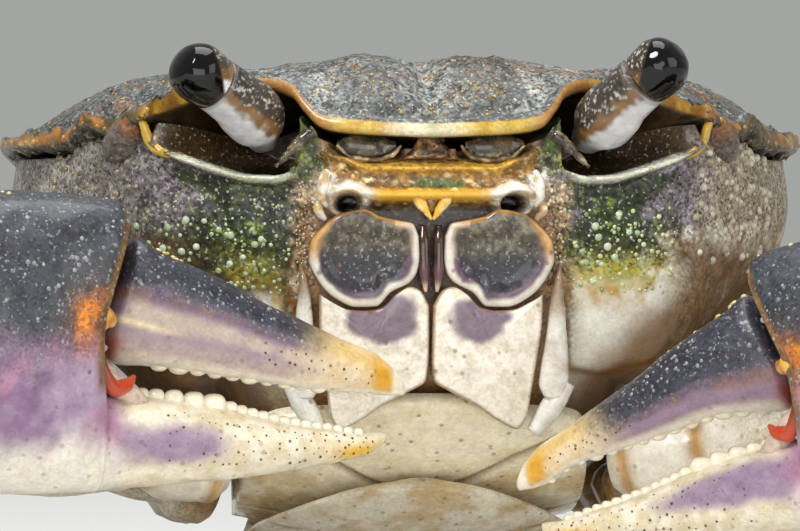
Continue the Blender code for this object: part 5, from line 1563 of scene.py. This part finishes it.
def hinge_parts(axes):
    """The glossy knob that the finger turns on, and the skin showing under the finger's root."""
    half = spline(HAND)(-1.5)[2]
    parts = (
        ("knob", (-1.5, -1, -0.4, 0.2), (-0.2, -0.7, -0.95, -1), half * np.array((0.74, 0.79, 0.77, 0.64)),
         ((0.3, 0.25), (0.62, 0.5), (0.6, 0.5), (0.3, 0.25)), mottled("c47418", "e4b454", 0.7, 88, 0.35, 0.7),
         "bead", 12, dents(0.8, 90, 0.5)),
        ("crescent", (-0.3, -0.2, 0.1, 0.6, 1.15, 1.6), (-1.9, -2.9, -3.9, -4.4, -4.25, -3.8),
         (2.9, 2.9, 2.8, 2.5, 2.2, 1.8), (0.08, 0.2, (0.36, 0.3), (0.42, 0.34), (0.36, 0.3), 0.1),
         lambda co, share, angle: coat(mix("6e3418", "be3e12", smooth(0.2, 0.7, share)), 0), "bead", 10, None),
        ("web", (-0.2, 0.5, 1.4, 2.3), (-3, -3.9, -4.8, -5.3), (1.6, 1.7, 1.6, 1.2),
         ((0.3, 0.4), (0.6, 0.7), 0.6, 0.3), flat("ceb6a4"), "joint_skin", 10, None),
    )
    return [tube(name, axes.at(*map(np.array, place)), sizes, 40, paint, skin, up=axes.w, smoothing=fine, relief=relief)
            for name, *place, sizes, paint, skin, fine, relief in parts]


def paint_arm(co, share, angle):
    """Slate and ochre above, cream below, with ochre rings at the root."""
    a, b = cloud(co, 1.8, 91, 3), cloud(co, 0.6, 94)
    colour = layers(
        mix(CREAM, OCHRE, 0.6 * smooth(0.45, 0.7, a)),
        (mix(SLATE, STONE, a), smooth(0.1, 0.6, np.sin(angle) + (a - 0.5) * 0.8)),
        (mix("f2ecdc", CREAM, b), smooth(0.42, 0.3, share)),
        (mix("cea054", AMBER, b), bell(share - 0.235, 0.022) + bell(share - 0.05, 0.02)),
    )
    return coat(colour, 0.15 * smooth(0.3, 0.42, share))


def paint_wrist(co, share, angle):
    """Slate with pale dots above, mauve and cream below."""
    a, b = cloud(co, 1.8, 91, 3), cloud(co, 0.6, 94)
    top = np.sin(angle) + (a - 0.5) * 0.8
    colour = mix(mix(CREAM, MAUVE, a), mix("32343a", "585a5e", b), smooth(-0.4, 0.3, top))
    colour = mix(colour, "a0703c", 0.8 * smooth(0.07, 0.02, np.minimum(share, 1 - share)))
    return coat(colour, 0.1 + 0.6 * smooth(-0.3, 0.3, top))


def make_arm(side, word, axes, elbow):
    """The arm from the breast plate and the wrist that carries the hand."""
    start = np.array(elbow, float)
    wrist_end = axes.at(HAND[0][0], -1.4, 0) - axes.u * 1.5
    turn = wrist_end + (4.2 * side, 3.6, -0.8)
    line = [start * (1 - t) ** 2 + turn * (2 * t * (1 - t)) + wrist_end * t * t for t, _, _ in WRIST]
    wrist = tube("wrist", line, [row[1:] for row in WRIST], 80, paint_wrist, "claw", roundness=0.9, smoothing=8,
                 relief=dents(0.9, 92, 0.2))
    root = line[5] + (-1.2 * side, 0, 2.2)
    spine = tube("spine", (root, root + (-side * 1.5, 0.7, 0.9), root + (-side * 2.5, 1.2, 1.4)), (1.1, 0.7, 0.12), 32,
                 paint_wrist, "claw")
    dress(join("wrist_" + word, [wrist, spine]), "claw", "claw_wrist_" + word)
    root = np.array(ARM_ROOT) * (side, 1, 1)
    reach = start - unit(start - root) * 0.75 - root
    arm = tube("arm_" + word, [root + reach * t for t, _, _ in ARM], [row[1:] for row in ARM], 80, paint_arm, "claw",
               roundness=0.85, smoothing=8, relief=dents(0.9, 93, 0.2))
    dress(arm, "claw", "claw_arm_" + word)


class CRAB_OT_claws(bpy.types.Operator):
    """The two claw limbs: arm, wrist, hand and moving finger, with their teeth and beads"""

    bl_idname = "crab.claws"
    bl_label = "Claws"

    def execute(self, context):
        molars = ((2.3, 0.42), (2.95, 0.46), (3.75, 0.54), (4.7, 0.62), (5.75, 0.7), (6.6, 0.46))
        molars += tuple((u, 0.4 - 0.018 * (u - 7)) for u in np.arange(7.2, 14, 0.58))
        cusps = [(u, (0.5 if i % 4 == 1 else 0.4) - 0.018 * (u - 3)) for i, u in enumerate(np.arange(3.1, 14.6, 0.92))]
        for side, word in SIDES:
            axes, elbow, purple, turned, thinner = CLAWS[word]
            hand = [claw_mesh("hand", axes, HAND, lambda *place: paint_hand(*place, *purple)),
                    teeth(axes, HAND, molars, True), claw_beads(axes, HAND, 11 + side), *hinge_parts(axes)]
            dress(join("hand_" + word, hand), "claw", "claw_hand_" + word)
            rows = [(u, high, low + thinner * band(u, 1, 4, 12, 15), half) for u, high, low, half in FINGER]
            finger = [claw_mesh("finger", axes, rows, lambda *place: paint_finger(*place, turned)),
                      teeth(axes, rows, cusps, False), claw_beads(axes, rows, 21 + side)]
            dress(join("finger_" + word, finger), "claw", "claw_finger_" + word)
            make_arm(side, word, axes, elbow)
        return {"FINISHED"}


def swing(azimuth, elevation, side):
    """A unit way out from the body: azimuth forward of sideways, elevation above level, in degrees."""
    a, e = math.radians(azimuth), math.radians(elevation)
    return np.array((side * math.cos(a) * math.cos(e), -math.sin(a) * math.cos(e), math.sin(e)))


def joint_skin(end, end_way, start, start_way):
    """The soft skin that bridges two leg pieces."""
    return tube("skin", (end - end_way * 0.7, end, start, start + start_way * 0.7),
                ((0.6, 0.7), (0.95, 1), (0.9, 0.95), 0.5), 32, flat("866442"), "joint_skin", smoothing=8)


def leg_piece(name, start, end, rows, size, kind, number):
    """One mottled leg piece; the toe ends in a blunt brown point."""
    sag = 1.2 if kind == "thigh" else 0
    points = [start + (end - start) * t - (0, 0, sag * 4 * t * (1 - t)) for t, _, _ in rows]
    sizes = [(a * size, b * size) for _, a, b in rows]
    if kind == "toe":
        points.append(end)
        sizes.append(TOE_TIP)

    def paint(co, share, angle):
        a, b = cloud(co, 2.2, 95 + number, 3), cloud(co, 0.7, 96)
        toe = kind == "toe"
        colour = layers(
            mix("968058", "58503e", smooth(0.38, 0.6, a * 0.6 + b * 0.4)),
            ("464848", 0.75 * smooth(0.45, 0.7, b) * smooth(-0.5, 0.3, np.sin(angle))),
            (CREAM, 0.6 * smooth(-0.3, -0.9, np.sin(angle))),
            (BROWN, smooth(0.8, 0.98, share) * toe),
            ("966c3a", 0.6 * np.maximum(smooth(0.12, 0.03, share), smooth(0.92, 0.98, share) * (not toe))),
        )
        return coat(colour, 0.25)

    return tube(name, points, sizes, 48, paint, "leg", roundness=0.9, smoothing=7, relief=dents(0.6, 97, 0.14))


class CRAB_OT_legs(bpy.types.Operator):
    """The eight walking legs, each in four pieces, standing on their toe tips"""

    bl_idname = "crab.legs"
    bl_label = "Walking legs"

    def execute(self, context):
        for side, word in SIDES:
            for number, (hip, azimuth, lengths) in enumerate(LEGS):
                start = np.array(hip) * (side, 1, 1)
                drop = sum(span * math.sin(math.radians(slope)) for span, slope in zip(lengths[1:], LEG_SLOPES))
                rise = FLOOR - start[2] - drop + 2 * JOINT_GAP * math.sin(math.radians(30))
                slopes = (math.degrees(math.asin(rise / lengths[0])), *LEG_SLOPES)
                ways = [swing(azimuth, slope, side) for slope in slopes]
                for i, (piece, rows, size) in enumerate(LEG_PIECES):
                    end = start + ways[i] * lengths[i]
                    if piece == "toe":
                        end[2] = FLOOR
                    made = leg_piece(f"{piece}_{number + 1}_{word}", start, end, rows, size, piece, number)
                    if i > 0:
                        made = join(made.name, [made, joint_skin(last, ways[i - 1], start, ways[i])])
                    dress(made, "leg", f"leg{number + 1}_{piece}_{word}")
                    last = end
                    if piece != "toe":
                        start = end + unit(ways[i] + ways[i + 1]) * JOINT_GAP
        return {"FINISHED"}


LOOK_AT = (-1.74, 0, -10.7)  # the point in the middle of the picture
PICTURE_WIDTH = 42.1  # millimetres at the face
SENSOR_WIDTH = 36
# Each lamp: its place from that point and its size in metres, and its power in watts
LAMPS = {
    "key": ((-0.16, -0.24, 0.32), 0.12, 1.25),
    "fill": ((0.30, -0.28, 0.12), 0.25, 0.4),
    "low": ((-0.04, -0.32, 0), 0.2, 0.35),
    "top": ((0.02, 0.06, 0.40), 0.28, 0.9),
}


def aim(obj, middle, offset):
    """Sets a lamp or camera beside a point and turns it to look at that point."""
    obj.location = middle + offset
    obj.rotation_euler = offset.to_track_quat("Z", "Y").to_euler()


class CRAB_OT_stage(bpy.types.Operator):
    """A plain pale floor, soft studio light and the camera close before the face"""

    bl_idname = "crab.stage"
    bl_label = "Stage"

    def execute(self, context):
        scene = context.scene
        look = scene.crab_look
        grid = bmesh.new()
        bmesh.ops.create_grid(grid, x_segments=1, y_segments=1, size=1.5)
        floor = place_object("floor", mesh_of("floor", grid))
        paper = Finish("floor_paper", Roughness=0.7)
        paper.drive(Base_Color=(0.74, 0.74, 0.72, 1))
        floor.data.materials.append(paper.material)
        world = bpy.data.worlds.new("studio")
        world.use_nodes = True
        back = world.node_tree.nodes["Background"]
        back.inputs["Color"].default_value = (0.80, 0.82, 0.80, 1)
        back.inputs["Strength"].default_value = look.sky
        scene.world = world
        middle = Vector(HOME) + Vector(LOOK_AT) * MM
        for name, (at, size, power) in LAMPS.items():
            lamp = bpy.data.lights.new(name, "AREA")
            lamp.energy = power * look.light
            lamp.size = size
            aim(place_object(name, lamp), middle, Vector(at))
        turn = math.radians(look.azimuth)
        camera = bpy.data.cameras.new("camera")
        camera.lens = SENSOR_WIDTH * look.distance / PICTURE_WIDTH
        camera.sensor_width = SENSOR_WIDTH
        camera.clip_start = 0.01
        scene.camera = place_object("camera", camera)
        aim(scene.camera, middle, Vector((math.sin(turn), -math.cos(turn), 0)) * (look.distance * MM))
        scene.view_settings.view_transform = "Standard"
        scene.view_settings.look = "None"
        scene.view_settings.exposure = 0
        return {"FINISHED"}


class CrabLook(bpy.types.PropertyGroup):
    """Sizes and light that a user may change"""

    fineness: bpy.props.IntProperty(
        name="Fineness", description="Eighths of the columns round the shell", default=75, min=20)
    azimuth: bpy.props.FloatProperty(
        name="Camera azimuth", description="Degrees round from straight ahead", default=-5.5)
    distance: bpy.props.FloatProperty(
        name="Camera distance", description="Millimetres from the face", default=230)
    light: bpy.props.FloatProperty(
        name="Lamp strength", description="Multiplies every lamp's power", default=1)
    sky: bpy.props.FloatProperty(
        name="Sky strength", description="Brightness of the pale surroundings", default=0.46)


OPERATORS = (
    CRAB_OT_stage,
    CRAB_OT_shell,
    CRAB_OT_face,
    CRAB_OT_mouth,
    CRAB_OT_eyes,
    CRAB_OT_feelers,
    CRAB_OT_underside,
    CRAB_OT_claws,
    CRAB_OT_legs,
)


class CRAB_PT_panel(bpy.types.Panel):
    """Lists the crab's parts in the sidebar"""

    bl_label = "Crab"
    bl_idname = "CRAB_PT_panel"
    bl_space_type = "VIEW_3D"
    bl_region_type = "UI"
    bl_category = "Crab"

    def draw(self, context):
        for name in CrabLook.__annotations__:
            self.layout.prop(context.scene.crab_look, name)
        for operator in OPERATORS:
            self.layout.operator(operator.bl_idname)


def register():
    for item in (CrabLook, *OPERATORS, CRAB_PT_panel):
        bpy.utils.register_class(item)
    bpy.types.Scene.crab_look = bpy.props.PointerProperty(type=CrabLook)


def unregister():
    del bpy.types.Scene.crab_look
    for item in (CRAB_PT_panel, *reversed(OPERATORS), CrabLook):
        bpy.utils.unregister_class(item)


def main():
    register()
    for operator in OPERATORS:
        group, name = operator.bl_idname.split(".")
        getattr(getattr(bpy.ops, group), name)()


if __name__ == "__main__":
    main()
